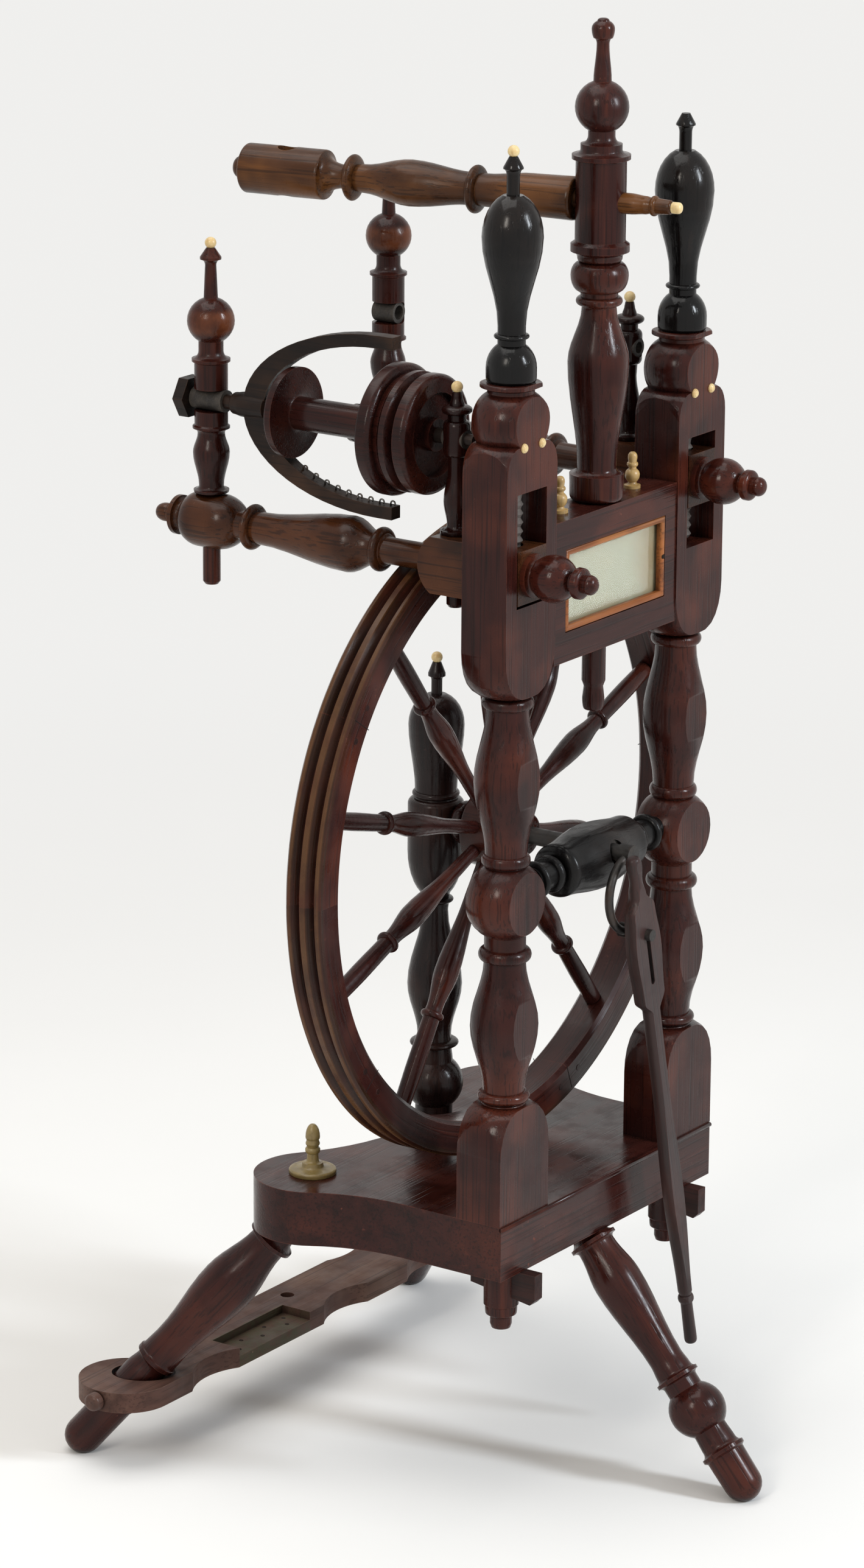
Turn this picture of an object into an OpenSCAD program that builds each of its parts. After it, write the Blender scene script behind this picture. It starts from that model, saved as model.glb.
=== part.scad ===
// Upright spinning wheel: two turned posts over a lobed board on three splayed legs,
// with the drive wheel behind the posts, sliding arms above it and a distaff on top.
// Millimetres, +Z up, -Y is the front. The feet stand on z = 0.

/* [Wheel] */
// Outer diameter of the drive wheel
wheel_d = 450; // [420:1:480]
// Radial depth of the felloes
rim_depth = 24; // [18:1:30]
// Width of the rim along the axle
rim_w = 28; // [24:1:30]
// Number of spokes, two to each felloe
spoke_count = 10; // [8:2:12]
// Radius of a spoke at its widest
spoke_r = 8.5; // [6:0.5:10]
// Radius of the hub at its middle
hub_r = 27; // [22:1:32]
// Length of the hub along the axle
hub_len = 56; // [44:1:60]
// Radius of the iron axle
axle_r = 6; // [4:0.5:8]
// Gap between the wheel and the board under it
wheel_gap = 5; // [3:1:15]
// Distance of the rim's middle behind the front posts
wheel_back = 78; // [76:1:84]
// Turn of the first spoke from level
spoke_turn = 21; // [0:1:35]

/* [Board] */
// Thickness of the board
board_t = 38.5; // [30:0.5:45]
// Height of the board's top above the floor
board_top = 209; // [190:1:230]
// Width across the board's front edge
board_w = 262; // [250:1:280]
// Radius of each rear lobe
lobe_r = 40.5; // [36:0.5:46]
// Sideways distance of each lobe's centre
lobe_x = 115; // [110:1:122]
// Distance of each lobe's centre behind the front posts
lobe_y = 148; // [142:1:158]
// Distance of the rear edge's hollow behind the front posts
hollow_y = 147; // [144:1:152]
// Radius of the hollow sweep along each side
side_sweep_r = 120; // [90:5:160]

/* [Legs] */
// Lean of the front leg from upright
front_splay = 40; // [36:1:43]
// Lean of each rear leg from upright
rear_splay = 41.5; // [38:0.5:44]
// Heading of each rear leg, from straight back
rear_heading = 31.5; // [27:0.5:36]
// Sideways place of the front leg
front_leg_x = -5; // [-12:0.5:-4]
// Distance of the front leg's socket behind the front posts
front_leg_y = -1; // [-3:0.5:6]
// Radius of a leg's tenon in the board
leg_tenon_r = 8.5; // [7:0.5:9]
// Radius of a leg at its upper swelling
leg_r = 17; // [14:0.5:17]
// Widest radius of the rear legs
rear_leg_r = 19.4; // [17:0.2:20]

/* [Posts] */
// Distance between the axes of the front posts
post_spacing = 206; // [200:1:220]
// Width of the post's square stock
stock_w = 58; // [54:1:62]
// Depth of the post's square stock
stock_d = 35; // [33:1:38]
// Height of the block at the post's foot, to the spring of its arches
base_block_h = 46; // [40:1:50]
// Height of the block that holds the arm
arm_block_h = 170; // [165:1:185]
// Radius of the ball beside the stretcher
post_ball_r = 27.6; // [24:0.2:28.8]
// Radius of the tenon below the board
post_tenon_r = 12; // [9:0.5:13]
// Length of the tenon below the board
post_tenon_len = 44; // [38:1:52]
// Height of the stretcher's axis below the axle
stretcher_drop = 6; // [3:1:8]
// Radius of the stretcher's barrel
stretcher_r = 23; // [20:0.5:24]
// Distance of the rear post behind the front posts
rear_post_back = 127; // [124:1:130]
// Radius of the ball on the rear post
rear_ball_r = 19.4; // [17:0.2:21]
// Height of the rear post above the axle
rear_post_rise = 113; // [100:1:115]

/* [Name panel] */
// Height of the panel between the posts
panel_h = 96; // [85:1:105]
// Depth of the panel
panel_d = 33; // [33:1:35]
// Width of the label window
label_w = 112; // [90:1:116]
// Height of the label window
label_h = 47; // [38:1:52]
// Width of the moulding round the window
moulding_w = 4.5; // [3:0.5:7]
// Thickness of the label card
card_t = 1; // [0.6:0.1:1.5]
// Thickness of the glass
glass_t = 2; // [1.5:0.1:2.5]

/* [Arms] */
// Width of the slot in the arm block
slot_w = 34; // [30:0.5:36]
// Height of the slot in the arm block
slot_h = 76; // [74:1:80]
// Width of the arm's tenon in the slot
arm_tenon_w = 32.6; // [28:0.1:33.4]
// Height of the arm's tenon
arm_tenon_h = 36; // [30:1:38]
// Radius of the arm's neck beside the wheel
arm_neck_r = 9; // [7:0.5:10]
// Radius of the arm's long swelling
arm_swell_r = 19; // [15:0.5:20]
// Radius of the ball that holds the rear maiden
arm_ball_r = 19; // [17:0.5:21]
// Distance of the rear maiden behind the front posts
rear_maiden_y = 241; // [238:1:244]
// Distance of the front maiden behind the front posts
front_maiden_y = 42; // [40:1:44]
// Amount by which the right arm stands higher than the left
right_arm_lift = 26; // [15:1:30]
// Radius of the tension screw's thread
screw_r = 8.8; // [7:0.1:9.2]
// Pitch of the tension screw
screw_pitch = 6; // [5:0.5:8]

/* [Flyer] */
// Height of the flyer's axis above the arm
flyer_rise = 83; // [80:1:90]
// Radius of the flyer's shaft
flyer_shaft_r = 5; // [4:0.25:6]
// Distance of the flyer's arms from its axis, inside
flyer_reach = 52.5; // [50:0.5:53.5]
// Depth of a flyer arm
flyer_depth = 8.5; // [6:0.5:9]
// Thickness of the flyer's horseshoe
flyer_t = 10; // [7:0.5:12]
// Radius of the bobbin's rear flange
bobbin_flange_r = 30.5; // [26:0.5:34]
// Radius of the bobbin's whorl
bobbin_whorl_r = 44; // [40:0.5:46]
// Radius of the flyer's whorl
flyer_whorl_r = 40; // [36:0.5:42]
// Number of hooks on one flyer arm
hook_count = 9; // [5:1:12]

/* [Distaff] */
// Height of the distaff post above the panel
distaff_h = 320; // [310:1:335]
// Radius of the distaff post's tenon
distaff_tenon_r = 8; // [7:0.5:9]
// Length of the tenon from the panel's top down
distaff_tenon_len = 144; // [130:1:160]
// Height of the arm's hole above the panel
distaff_arm_h = 200; // [197:1:204]
// Radius of the arm's tail in that hole
distaff_tail_r = 7; // [5.5:0.5:8]
// Distance of the distaff socket from the post
socket_reach = 230; // [222:1:238]
// Radius of the distaff socket
socket_r = 7; // [5:0.5:8.5]
// Turn of the arm from straight back, towards the left
distaff_turn = 8.5; // [2:0.5:12]

/* [Crank and footman] */
// Throw of the crank
crank_throw = 53; // [45:1:54]
// Radius of the crank's iron and of its pin
crank_r = 4; // [3:0.25:5]
// Distance of the crank in front of the posts
crank_front = 30; // [29:0.5:33]
// Distance of the footman in front of the posts
footman_front = 42; // [40.5:0.5:44]
// Thickness of the footman's paddle
footman_t = 9; // [7:0.5:10]
// Length of the footman below the crank pin
footman_len = 326; // [315:1:335]
// Lean of the footman from upright
footman_lean = 13; // [13:0.25:14.5]

/* [Treadle] */
// Distance of the treadle bar's axis behind the front posts
treadle_back = 253; // [250:1:257]
// Height of the treadle bar's axis above the floor
treadle_z = 52; // [49:1:55]
// Thickness of the treadle bar
treadle_t = 14.5; // [12:0.5:17]
// Width of the treadle bar at its middle
treadle_w = 50; // [44:1:56]
// Radius of the round ends
treadle_end_r = 33; // [32:0.5:36]
// Sideways place of the lap that took the foot board
lap_x = -60; // [-70:1:-50]
// Width of that lap
lap_w = 84; // [70:1:90]
// Radius of the treadle's hinge pins
treadle_pin_r = 4; // [3:0.25:5]

/* [Fits] */
// Radial clearance of a part that turns
run_fit = 0.06; // [0.02:0.01:0.1]
// Radial clearance of a part that is glued or driven in
seat_fit = 0.02; // [0.01:0.01:0.05]
// Clearance between faces that slide or turn past each other
face_gap = 0.4; // [0.3:0.05:0.8]
// Clearance between the wheel and an arm's neck
wheel_arm_gap = 2.5; // [2:0.1:4]

/* [Hidden] */
$fn = 64;
LINE = 0;
OGEE = 1;
BALL = 2;
COVE = 3;
ROUND = 4;
steps = 6;
post_y = -74.5;
post_x = post_spacing/2;
underside = board_top - board_t;
front_edge = -stock_d/2 - 0.5;
wheel_r = wheel_d/2;
axle_h = wheel_gap + wheel_r;
stretcher_h = axle_h - stretcher_drop;
post_ball_h = stretcher_h - 5;
arm_low_h = axle_h + sqrt(pow(wheel_r + arm_neck_r + wheel_arm_gap, 2) - post_x*post_x);
slot_foot = arm_low_h - arm_tenon_h/2 - 2;
slot_top = slot_foot + slot_h;
arm_block_foot = slot_foot - 63;
arm_block_top = arm_block_foot + arm_block_h;
cap_h = 39;
cap_top = arm_block_top + cap_h;
panel_foot = arm_block_foot + 15;
panel_top = panel_foot + panel_h;
panel_half = post_x - stock_w/2;
panel_front = -panel_d/2;
label_z = panel_foot + panel_h/2;
rim_front = wheel_back - rim_w/2;
rim_back = wheel_back + rim_w/2;
rim_in = wheel_r - rim_depth;
screw_neck_r = screw_r - 0.4;
stud_x = screw_r + 1.5;
front_pad_end = rim_front - 3;
hidden_big = 2000;
rear_dx = sin(rear_heading)*tan(rear_splay);
rear_dy = cos(rear_heading)*tan(rear_splay);
rear_leg_pin_x = 180;
rear_leg_x = rear_leg_pin_x - rear_dx*(underside - treadle_z);
rear_leg_y = treadle_back - rear_dy*(underside - treadle_z);
treadle_end_x = rear_leg_pin_x + 9;

// One stretch of a turned outline, from [height, radius] to [height, radius, kind]
function stretch(a, b) =
  let (kind = len(b) > 2 ? b[2] : LINE, dr = b[1] - a[1], dz = b[0] - a[0], widens = dr > 0)
  kind == LINE ? [[b[1], b[0]]] :
  kind == ROUND ? ball_side(a, b) :
  [for (i = [1:steps])
    let (q = 90*i/steps, t = i/steps)
    kind == OGEE ? [a[1] + dr*(1 - cos(180*t))/2, a[0] + dz*t] :
    (kind == BALL) == widens ? [a[1] + dr*sin(q), a[0] + dz*(1 - cos(q))] :
    [a[1] + dr*(1 - cos(q)), a[0] + dz*sin(q)]];

// One side of a ball whose middle lies on the axis, between its middle and its neck
function ball_side(a, b) =
  let (wide = max(a[1], b[1]), edge = acos(min(a[1], b[1])/wide), dz = b[0] - a[0])
  [for (i = [1:steps])
    let (q = edge*(b[1] > a[1] ? 1 - i/steps : i/steps), t = sin(q)/sin(edge))
    [wide*cos(q), b[1] > a[1] ? b[0] - dz*t : a[0] + dz*t]];

// Height from a ball's middle to the neck that it meets
function rise(ball, neck) = sqrt(ball*ball - neck*neck);

// A round bead on a neck, as three points of an outline
function bead(h, r, neck, thick) =
  [[h - thick/2, neck, OGEE], [h, r, BALL], [h + thick/2, neck, BALL]];

// A turned solid about Z from its outline points
module turned(p) {
  last = p[len(p) - 1];
  outline = concat([[0, p[0][0]], [p[0][1], p[0][0]]],
    [for (i = [1:len(p) - 1]) each stretch(p[i - 1], p[i])], [[0, last[0]]]);
  rotate_extrude() polygon(outline);
}

// A turned solid about Y, with its outline measured along +Y
module turned_back(p) rotate([-90, 0, 0]) turned(p);

module drill(r, h0, h1) translate([0, 0, h0]) cylinder(r = r, h = h1 - h0);
module drill_back(r, y0, y1) translate([0, y0, 0]) rotate([-90, 0, 0]) cylinder(r = r, h = y1 - y0);

// The front posts' plane, at the board's top
module on_board() translate([0, post_y, board_top]) children();
module at_axle() on_board() translate([0, 0, axle_h]) children();
module at_post(side) on_board() translate([side*post_x, 0, 0]) children();
function arm_h(side) = arm_low_h + (side > 0 ? right_arm_lift : 0);
module at_arm(side) at_post(side) translate([0, 0, arm_h(side)]) children();

module front_leg_place()
  translate([front_leg_x, post_y + front_leg_y, underside]) rotate([180 - front_splay, 0, 0]) children();
module rear_leg_place(side)
  translate([side*rear_leg_x, post_y + rear_leg_y, underside])
    rotate([0, 0, -side*rear_heading]) rotate([180 + rear_splay, 0, 0]) children();

// Board

function arc_points(c, r, from, to) =
  let (n = ceil(abs(to - from)/6))
  [for (i = [0:n]) let (q = from + (to - from)*i/n) [c[0] + r*cos(q), c[1] + r*sin(q)]];
function heading(a, b) = atan2(b[1] - a[1], b[0] - a[0]);
function mirrored_back(p) = [for (i = [len(p) - 1:-1:0]) [-p[i][0], p[i][1]]];

// Foot of the bone finial on each lobe, the right one a little nearer the posts
function finial_at(side) = side > 0 ? [lobe_x + 2.5, lobe_y - 2.5, 0] : [-lobe_x, lobe_y, 0];

// Straight front, hollow sides that sweep out into the lobes, hollow rear
function board_half() =
  let (half = board_w/2, lobe = [lobe_x, lobe_y], sweep_x = half + side_sweep_r,
    sweep_y = lobe_y - sqrt(pow(side_sweep_r + lobe_r, 2) - pow(sweep_x - lobe_x, 2)),
    sweep = [sweep_x, sweep_y], dy = lobe_y - hollow_y,
    hollow_r = (lobe_x*lobe_x + dy*dy - lobe_r*lobe_r)/(2*(lobe_r + dy)),
    hollow = [0, hollow_y + hollow_r], side_turn = heading(sweep, lobe), rear_turn = heading(lobe, hollow))
  concat([[half, front_edge]], arc_points(sweep, side_sweep_r, 180, side_turn),
    arc_points(lobe, lobe_r, side_turn - 174, rear_turn - 6), arc_points(hollow, hollow_r,
      rear_turn - 180, -87));

module board_outline() polygon(concat(board_half(), mirrored_back(board_half())));

finial_tenon_r = 4;
rear_post_tenon_r = 9;

module board() color("#4a2a26") difference() {
  translate([0, post_y, underside]) linear_extrude(board_t) board_outline();
  for (s = [-1, 1]) at_post(s) drill(post_tenon_r + seat_fit, -board_t - 1, 1);
  on_board() translate([0, rear_post_back, 0]) drill(rear_post_tenon_r + seat_fit, -board_t - 1, 1);
  for (s = [-1, 1]) on_board() translate(finial_at(s)) drill(finial_tenon_r + seat_fit, -12, 1);
  front_leg_place() drill(leg_tenon_r + seat_fit, -leg_tenon_len - 1, 20);
  for (s = [-1, 1]) rear_leg_place(s) drill(leg_tenon_r + seat_fit, -leg_tenon_len - 1, 20);
}

// Legs: outlines run down from the board's underside

leg_collar_at = 13;
leg_collar_r = 17;
leg_neck_r = 12;
leg_tenon_len = 27;

function leg_top(widest_at, widest_r) = [[0, 12], [leg_collar_at - 6, 12.6],
  [leg_collar_at, leg_collar_r, COVE], [leg_collar_at + 2.5, leg_collar_r], [leg_collar_at + 5, 13.4, COVE],
  [widest_at, widest_r, OGEE]];

foot_r = 13.4;
foot_flat = 1.5;
// Rounded foot that stands on a small flat, for a leg of this reach and lean
function foot(reach, splay) = let (mid = reach - (foot_r - foot_flat)/cos(splay))
  [[mid, foot_r], [mid + foot_r - 0.1, rise(foot_r, foot_r - 0.1), ROUND]];

// The space between the floor and the board
module under_board() translate([-hidden_big/2, -hidden_big/2, 0]) cube([hidden_big, hidden_big, underside]);

module leg_front() color("#4a2622") {
  reach = underside/cos(front_splay);
  ball_at = 149;
  ball_r = 19.8;
  front_leg_place() drill(leg_tenon_r, -leg_tenon_len, leg_collar_at);
  intersection() {
    front_leg_place() turned(concat(leg_top(46, leg_r),
      [[108, leg_neck_r, OGEE], [119, 13, OGEE], [122, 15.6, COVE], [124.5, 15.6], [127, 12.5, COVE],
        [ball_at - rise(ball_r, 12.5), 12.5], [ball_at, ball_r, ROUND],
        [ball_at + rise(ball_r, leg_neck_r), leg_neck_r, ROUND], [177, 12.6, OGEE], [181, 15.8, COVE],
        [183.5, 15.8], [185, foot_r + 0.4]], foot(reach, front_splay)));
    under_board();
  }
}

module rear_leg(side) color("#4a2622") difference() {
  reach = underside/cos(rear_splay);
  union() {
    rear_leg_place(side) drill(leg_tenon_r, -leg_tenon_len, leg_collar_at);
    intersection() {
      rear_leg_place(side) turned(concat(leg_top(60, rear_leg_r),
        [[118, 13.6, OGEE], [130, 14, OGEE], [133, 15.2, COVE], [136, 15.2], [138.5, 12.6, COVE],
          [150, 14, OGEE], [176, 14], [178, foot_r]], foot(reach, rear_splay)));
      under_board();
    }
  }
  at_treadle_pin(side) drill(treadle_pin_r + seat_fit, 0, treadle_pin_len);
}
module leg_rear_left() rear_leg(-1);
module leg_rear_right() rear_leg(1);

// Front posts: flat-sided turnings from oblong stock

module stock(h0, h1) translate([-stock_w/2, -stock_d/2, h0]) cube([stock_w, stock_d, h1 - h0]);

// Half of the stock's diagonal, where a shoulder's dome meets the corners
stock_corner = sqrt(stock_w*stock_w + stock_d*stock_d)/2;
shoulder_h = 32;
top_shoulder_h = 18;
post_neck_r = 14;

module post_turning() {
  ring_1 = base_block_h + shoulder_h + 5;
  ring_2 = post_ball_h - 37;
  ring_3 = post_ball_h + 28;
  ring_4 = arm_block_foot - 5;
  intersection() {
    stock(base_block_h - 1, arm_block_foot + shoulder_h + 1);
    turned(concat([[base_block_h - 1, stock_corner], [base_block_h, stock_corner],
      [base_block_h + shoulder_h, post_neck_r + 1, BALL]], bead(ring_1, 17.6, post_neck_r, 7),
      [[(ring_1 + ring_2)/2, 23, OGEE]], bead(ring_2, 17.8, post_neck_r, 9),
      [[post_ball_h - rise(post_ball_r, post_neck_r), post_neck_r], [post_ball_h, post_ball_r, ROUND],
        [post_ball_h + rise(post_ball_r, post_neck_r), post_neck_r, ROUND]],
      bead(ring_3, 16.4, post_neck_r, 8), [[(ring_3 + ring_4)/2, 22, OGEE]], bead(ring_4, 17.4,
        post_neck_r, 8),
      [[arm_block_foot, post_neck_r + 1], [arm_block_foot + shoulder_h, stock_corner, BALL],
        [arm_block_foot + shoulder_h + 1, stock_corner]]));
  }
}

// The arm block's upper shoulder and the ball over it, flat in front and behind
module post_cap() intersection() {
  stock(arm_block_top - top_shoulder_h - 1, cap_top);
  turned([[arm_block_top - top_shoulder_h - 1, stock_corner],
    [arm_block_top - top_shoulder_h, stock_corner],
    [arm_block_top, 22.5, BALL], [arm_block_top + 14, 26.2, ROUND], [cap_top - 7, 15.5, ROUND],
    [cap_top - 5, 15.5], [cap_top - 3, 20.4, COVE], [cap_top - 1.5, 20.4], [cap_top, 18.5, BALL]]);
}

key_w = 9;
key_h = 22;
key_drop = 3;

module post(side) color("#4a2a26") difference() {
  at_post(side) union() {
    stock(0, base_block_h);
    post_turning();
    stock(arm_block_foot + shoulder_h, arm_block_top - top_shoulder_h);
    post_cap();
    turned([[-board_t - post_tenon_len, 6.5], [-board_t - post_tenon_len + 3, 7.5],
      [-board_t - post_tenon_len + 8, 7.5],
      [-board_t - post_tenon_len + 10, post_tenon_r - 1.5],
        [-board_t - post_tenon_len + 16, post_tenon_r - 1, BALL],
      [-board_t - post_tenon_len + 17, post_tenon_r], [0.5, post_tenon_r]]);
  }
  at_post(side) translate([-slot_w/2, -stock_d, slot_foot]) cube([slot_w, 2*stock_d, slot_h]);
  at_post(side) drill(screw_neck_r + run_fit, slot_top - 1, cap_top + 1);
  at_post(side) drill(screw_tip_r + run_fit, slot_foot - screw_tip_len - 1, slot_foot + 1);
  at_stretcher() rotate([0, 90, 0]) cylinder(r = stretcher_tenon_r + seat_fit, h = 2*post_x, center = true);
  for (s = [-1, 1]) at_post(side) translate([s*stud_x, 0, stud_h])
    drill_back(stud_r + seat_fit, -stock_d, stud_depth);
  at_key(side) key_blank(seat_fit);
}
module post_left() post(-1);
module post_right() post(1);

module at_key(side) at_post(side) translate([0, 0, -board_t - key_drop]) children();
module key_blank(grow) {
  w = key_w/2 + grow;
  top = key_drop - 0.3 + grow;
  bottom = key_drop - key_h - grow;
  translate([-w, 0, 0]) rotate([90, 0, 90]) linear_extrude(2*w)
    polygon([[-30, top], [22, top], [22, bottom + 7], [-26, bottom], [-30, bottom + 4]]);
}
module post_keys() color("#3a2320") for (s = [-1, 1]) at_key(s) key_blank(0);

// Rear post, ebonised, with its bone bead

rear_top_h = axle_h + rear_post_rise;
base_ball_h = 38;
bead_r = 3.9;
bead_seat = bead_r - 0.6;

module rear_post() color("#1d1718") difference() {
  on_board() translate([0, rear_post_back, 0]) turned(concat(
    [[-board_t, rear_post_tenon_r], [face_gap, rear_post_tenon_r], [face_gap, 17], [8, 18, BALL],
      [14, 13, COVE], [base_ball_h - rise(20.4, 13), 13], [base_ball_h, 20.4, ROUND],
      [base_ball_h + rise(20.4, 13), 13, ROUND]], bead(67, 17, 12, 5), [[73, 11.7], [110, 19, OGEE],
      [axle_h - 67, 9, OGEE]], bead(axle_h - 59, 12.7, 9.5, 4), [[axle_h - 54, 10.5],
      [axle_h - 24, rear_ball_r, ROUND], [axle_h + bush_r + 1, rear_ball_r], [axle_h + 14, 15, BALL]],
    bead(axle_h + 17, 16.4, 14.5, 4), [[axle_h + 66, 19.3, OGEE], [axle_h + 87, 7, ROUND],
      [axle_h + 87, 3.8], [rear_top_h - 16, 3.8], [rear_top_h - 13, 6, COVE], [rear_top_h - 11, 6],
      [rear_top_h - bead_seat, 3]]));
  at_axle() drill_back(bush_r + seat_fit, rear_post_back - rear_ball_r - 1, rear_post_back + bush_depth);
}
module rear_post_bead() color("#ead9a2")
  on_board() translate([0, rear_post_back, rear_top_h]) bone_bead();

// A bone bead that stands on a post's tip
module bone_bead() intersection() {
  sphere(r = bead_r);
  translate([-2*bead_r, -2*bead_r, -bead_seat]) cube(4*bead_r);
}

// Stretcher between the front posts; it carries the axle's front end

stretcher_tenon_r = 9;
bush_r = axle_r + 2.5;
bush_depth = 8;
module at_stretcher() on_board() translate([0, 0, stretcher_h]) children();

module stretcher() color("#1d1718") difference() {
  half = post_x - 14;
  neck_at = post_x - post_ball_r + 2;
  neck_r = 9.6;
  barrel_half = 41;
  at_stretcher() union() {
    intersection() {
      rotate([0, 90, 0]) turned(concat([[-neck_at + 4, 10]], bead(-neck_at + 9, 13, neck_r, 6),
        bead(-barrel_half - 10, 13, neck_r, 7), [[-barrel_half - 5, neck_r], [-barrel_half, 18.5, BALL],
          [0, stretcher_r, OGEE], [barrel_half, 18.5, OGEE], [barrel_half + 5, neck_r, BALL]],
        bead(barrel_half + 10, 13, neck_r, 7), bead(neck_at - 9, 13, neck_r, 6), [[neck_at - 4, 10]]));
      translate([-post_x, -2*stretcher_r, -stretcher_r + 3])
        cube([2*post_x, 4*stretcher_r, 2*stretcher_r - 6]);
    }
    rotate([0, 90, 0]) cylinder(r = stretcher_tenon_r, h = 2*half, center = true);
  }
  at_axle() drill_back(bush_r + seat_fit, -2*stretcher_r, 2*stretcher_r);
}

module bush(y0, y1) difference() {
  drill_back(bush_r, y0, y1);
  drill_back(axle_r + run_fit, y0 - 1, y1 + 1);
}
stretcher_face = sqrt(pow(stretcher_r, 2) - pow(bush_r + stretcher_drop, 2)) - 1;
module axle_bushes() color("#8a6a3a") at_axle() {
  bush(-stretcher_face, stretcher_face);
  bush(rear_post_back - rear_ball_r + 3, rear_post_back + bush_depth);
}

// Name panel with its moulded window

window_depth = 7;
module window(grow, y0, y1) translate([-label_w/2 - grow, y0, label_z - label_h/2 - grow])
  cube([label_w + 2*grow, y1 - y0, label_h + 2*grow]);

module name_panel() color("#54302a") difference() {
  on_board() translate([-panel_half, panel_front, panel_foot]) cube([2*panel_half, panel_d, panel_h]);
  on_board() window(moulding_w, panel_front - 1, panel_front + window_depth);
  on_board() drill(distaff_tenon_r + run_fit, panel_foot - 1, panel_top + 1);
  for (s = [-1, 1]) at_crest(s) drill(finial_tenon_r + seat_fit, -9, 1);
}
module panel_moulding() color("#a85f2a") on_board() difference() {
  window(moulding_w - seat_fit, panel_front, panel_front + window_depth - card_t - glass_t);
  window(0, panel_front - 1, panel_front + window_depth);
}
module label_card() color("#d8d6b8") on_board()
  window(moulding_w - 0.3, panel_front + window_depth - card_t, panel_front + window_depth);
module label_glass() color("#cfe0e0") on_board()
  window(moulding_w - 0.3, panel_front + window_depth - card_t - glass_t,
    panel_front + window_depth - card_t);

// Small bone finials

module at_crest(side) on_board() translate([side*44, 0, panel_top]) children();
module crest_finials() color("#e0c27a") for (s = [-1, 1]) at_crest(s)
  turned([[-8, finial_tenon_r], [0, finial_tenon_r], [0, 5.6], [2, 5.6, BALL], [4, 2.8, COVE],
    [9, 5, ROUND], [13, 2.6, ROUND], [14.5, 2.6], [16, 3.8, BALL], [17.5, 2.8, BALL], [21, 3.2, OGEE],
    [24.5, 0.6, BALL]]);
module board_finials() color("#c8a05a") for (s = [-1, 1]) on_board() translate(finial_at(s))
  turned([[-11, finial_tenon_r], [0, finial_tenon_r], [0, 16], [2.2, 16.4, BALL], [3.6, 14.5, BALL],
    [5, 7.5, COVE], [7.5, 7], [9, 4.2, COVE], [14, 3.8], [16.5, 5.2, BALL], [18.5, 3.8, BALL],
    [21, 4.9, OGEE], [24, 4.2, OGEE], [26, 5, BALL], [35, 0.6, BALL]]);

// Bone studs that keep each screw in its post

stud_r = 1.6;
stud_h = arm_block_top - 1;
stud_depth = 6;
module screw_studs() color("#ead9a2") for (side = [-1, 1]) for (s = [-1, 1])
  at_post(side) translate([s*stud_x, 0, stud_h])
    turned_back([[-stock_d/2 - 2.2, 0.8], [-stock_d/2 - 1.4, 2.4, BALL], [-stock_d/2, 3.2, BALL],
      [-stock_d/2, stud_r], [stud_depth - 1, stud_r]]);

// Tension screws: an urn handle on a wooden screw

screw_tip_r = 5;
screw_tip_len = 14;
thread_depth = 1.6;
handle_foot = cap_top + face_gap;
screw_top = handle_foot + 146;

function thread(h0, h1) = [for (i = [0:floor((h1 - h0)/screw_pitch) - 1]) each
  [[h0 + i*screw_pitch + 0.5, screw_r - thread_depth], [h0 + (i + 0.5)*screw_pitch, screw_r],
    [h0 + (i + 1)*screw_pitch - 0.5, screw_r - thread_depth]]];

module screw(side) color("#1d1718") at_post(side) turned(concat(
  [[slot_foot - screw_tip_len, screw_tip_r - 1], [slot_foot - screw_tip_len + 1, screw_tip_r],
    [slot_foot + 2, screw_tip_r]], thread(slot_foot + 2, slot_top - 4),
  [[slot_top - 3, screw_neck_r], [stud_h - stud_r - 1, screw_neck_r],
    [stud_h - stud_r - 1, stud_x - stud_r - face_gap],
    [stud_h + stud_r + 1, stud_x - stud_r - face_gap], [stud_h + stud_r + 1, screw_neck_r],
    [handle_foot, screw_neck_r], [handle_foot, 15.6], [handle_foot + 3, 16.6, BALL],
    [handle_foot + 9, 16.6], [handle_foot + 24, 9.2, ROUND], [handle_foot + 27, 9.2]],
  bead(handle_foot + 29.5, 11.6, 9.2, 3.4), [[handle_foot + 36, 9.2], [handle_foot + 94, 20, OGEE],
    [handle_foot + 121, 6.8, ROUND], [handle_foot + 121, 4.3], [handle_foot + 133, 4.3],
    [handle_foot + 138, 6.6, COVE], [handle_foot + 139, 6.6], [screw_top, 2.8]]));
module screw_left() screw(-1);
module screw_right() screw(1);
module screw_bead() color("#ead9a2") at_post(-1) translate([0, 0, screw_top + bead_seat]) bone_bead();

// Sliding arms: a front tenon in the post's slot, a pad for the front maiden,
// a neck beside the wheel, and a ball for the rear maiden

pad_half = 17;
maiden_tenon_r = 6;
arm_pad_start = stock_d/2 + face_gap;
neck_end = rim_back + 4;
swell_y = (neck_end + rear_maiden_y - 30)/2 - 28;
knob_seat = -stock_d/2 - face_gap;
knob_stud_r = 6;

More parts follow.
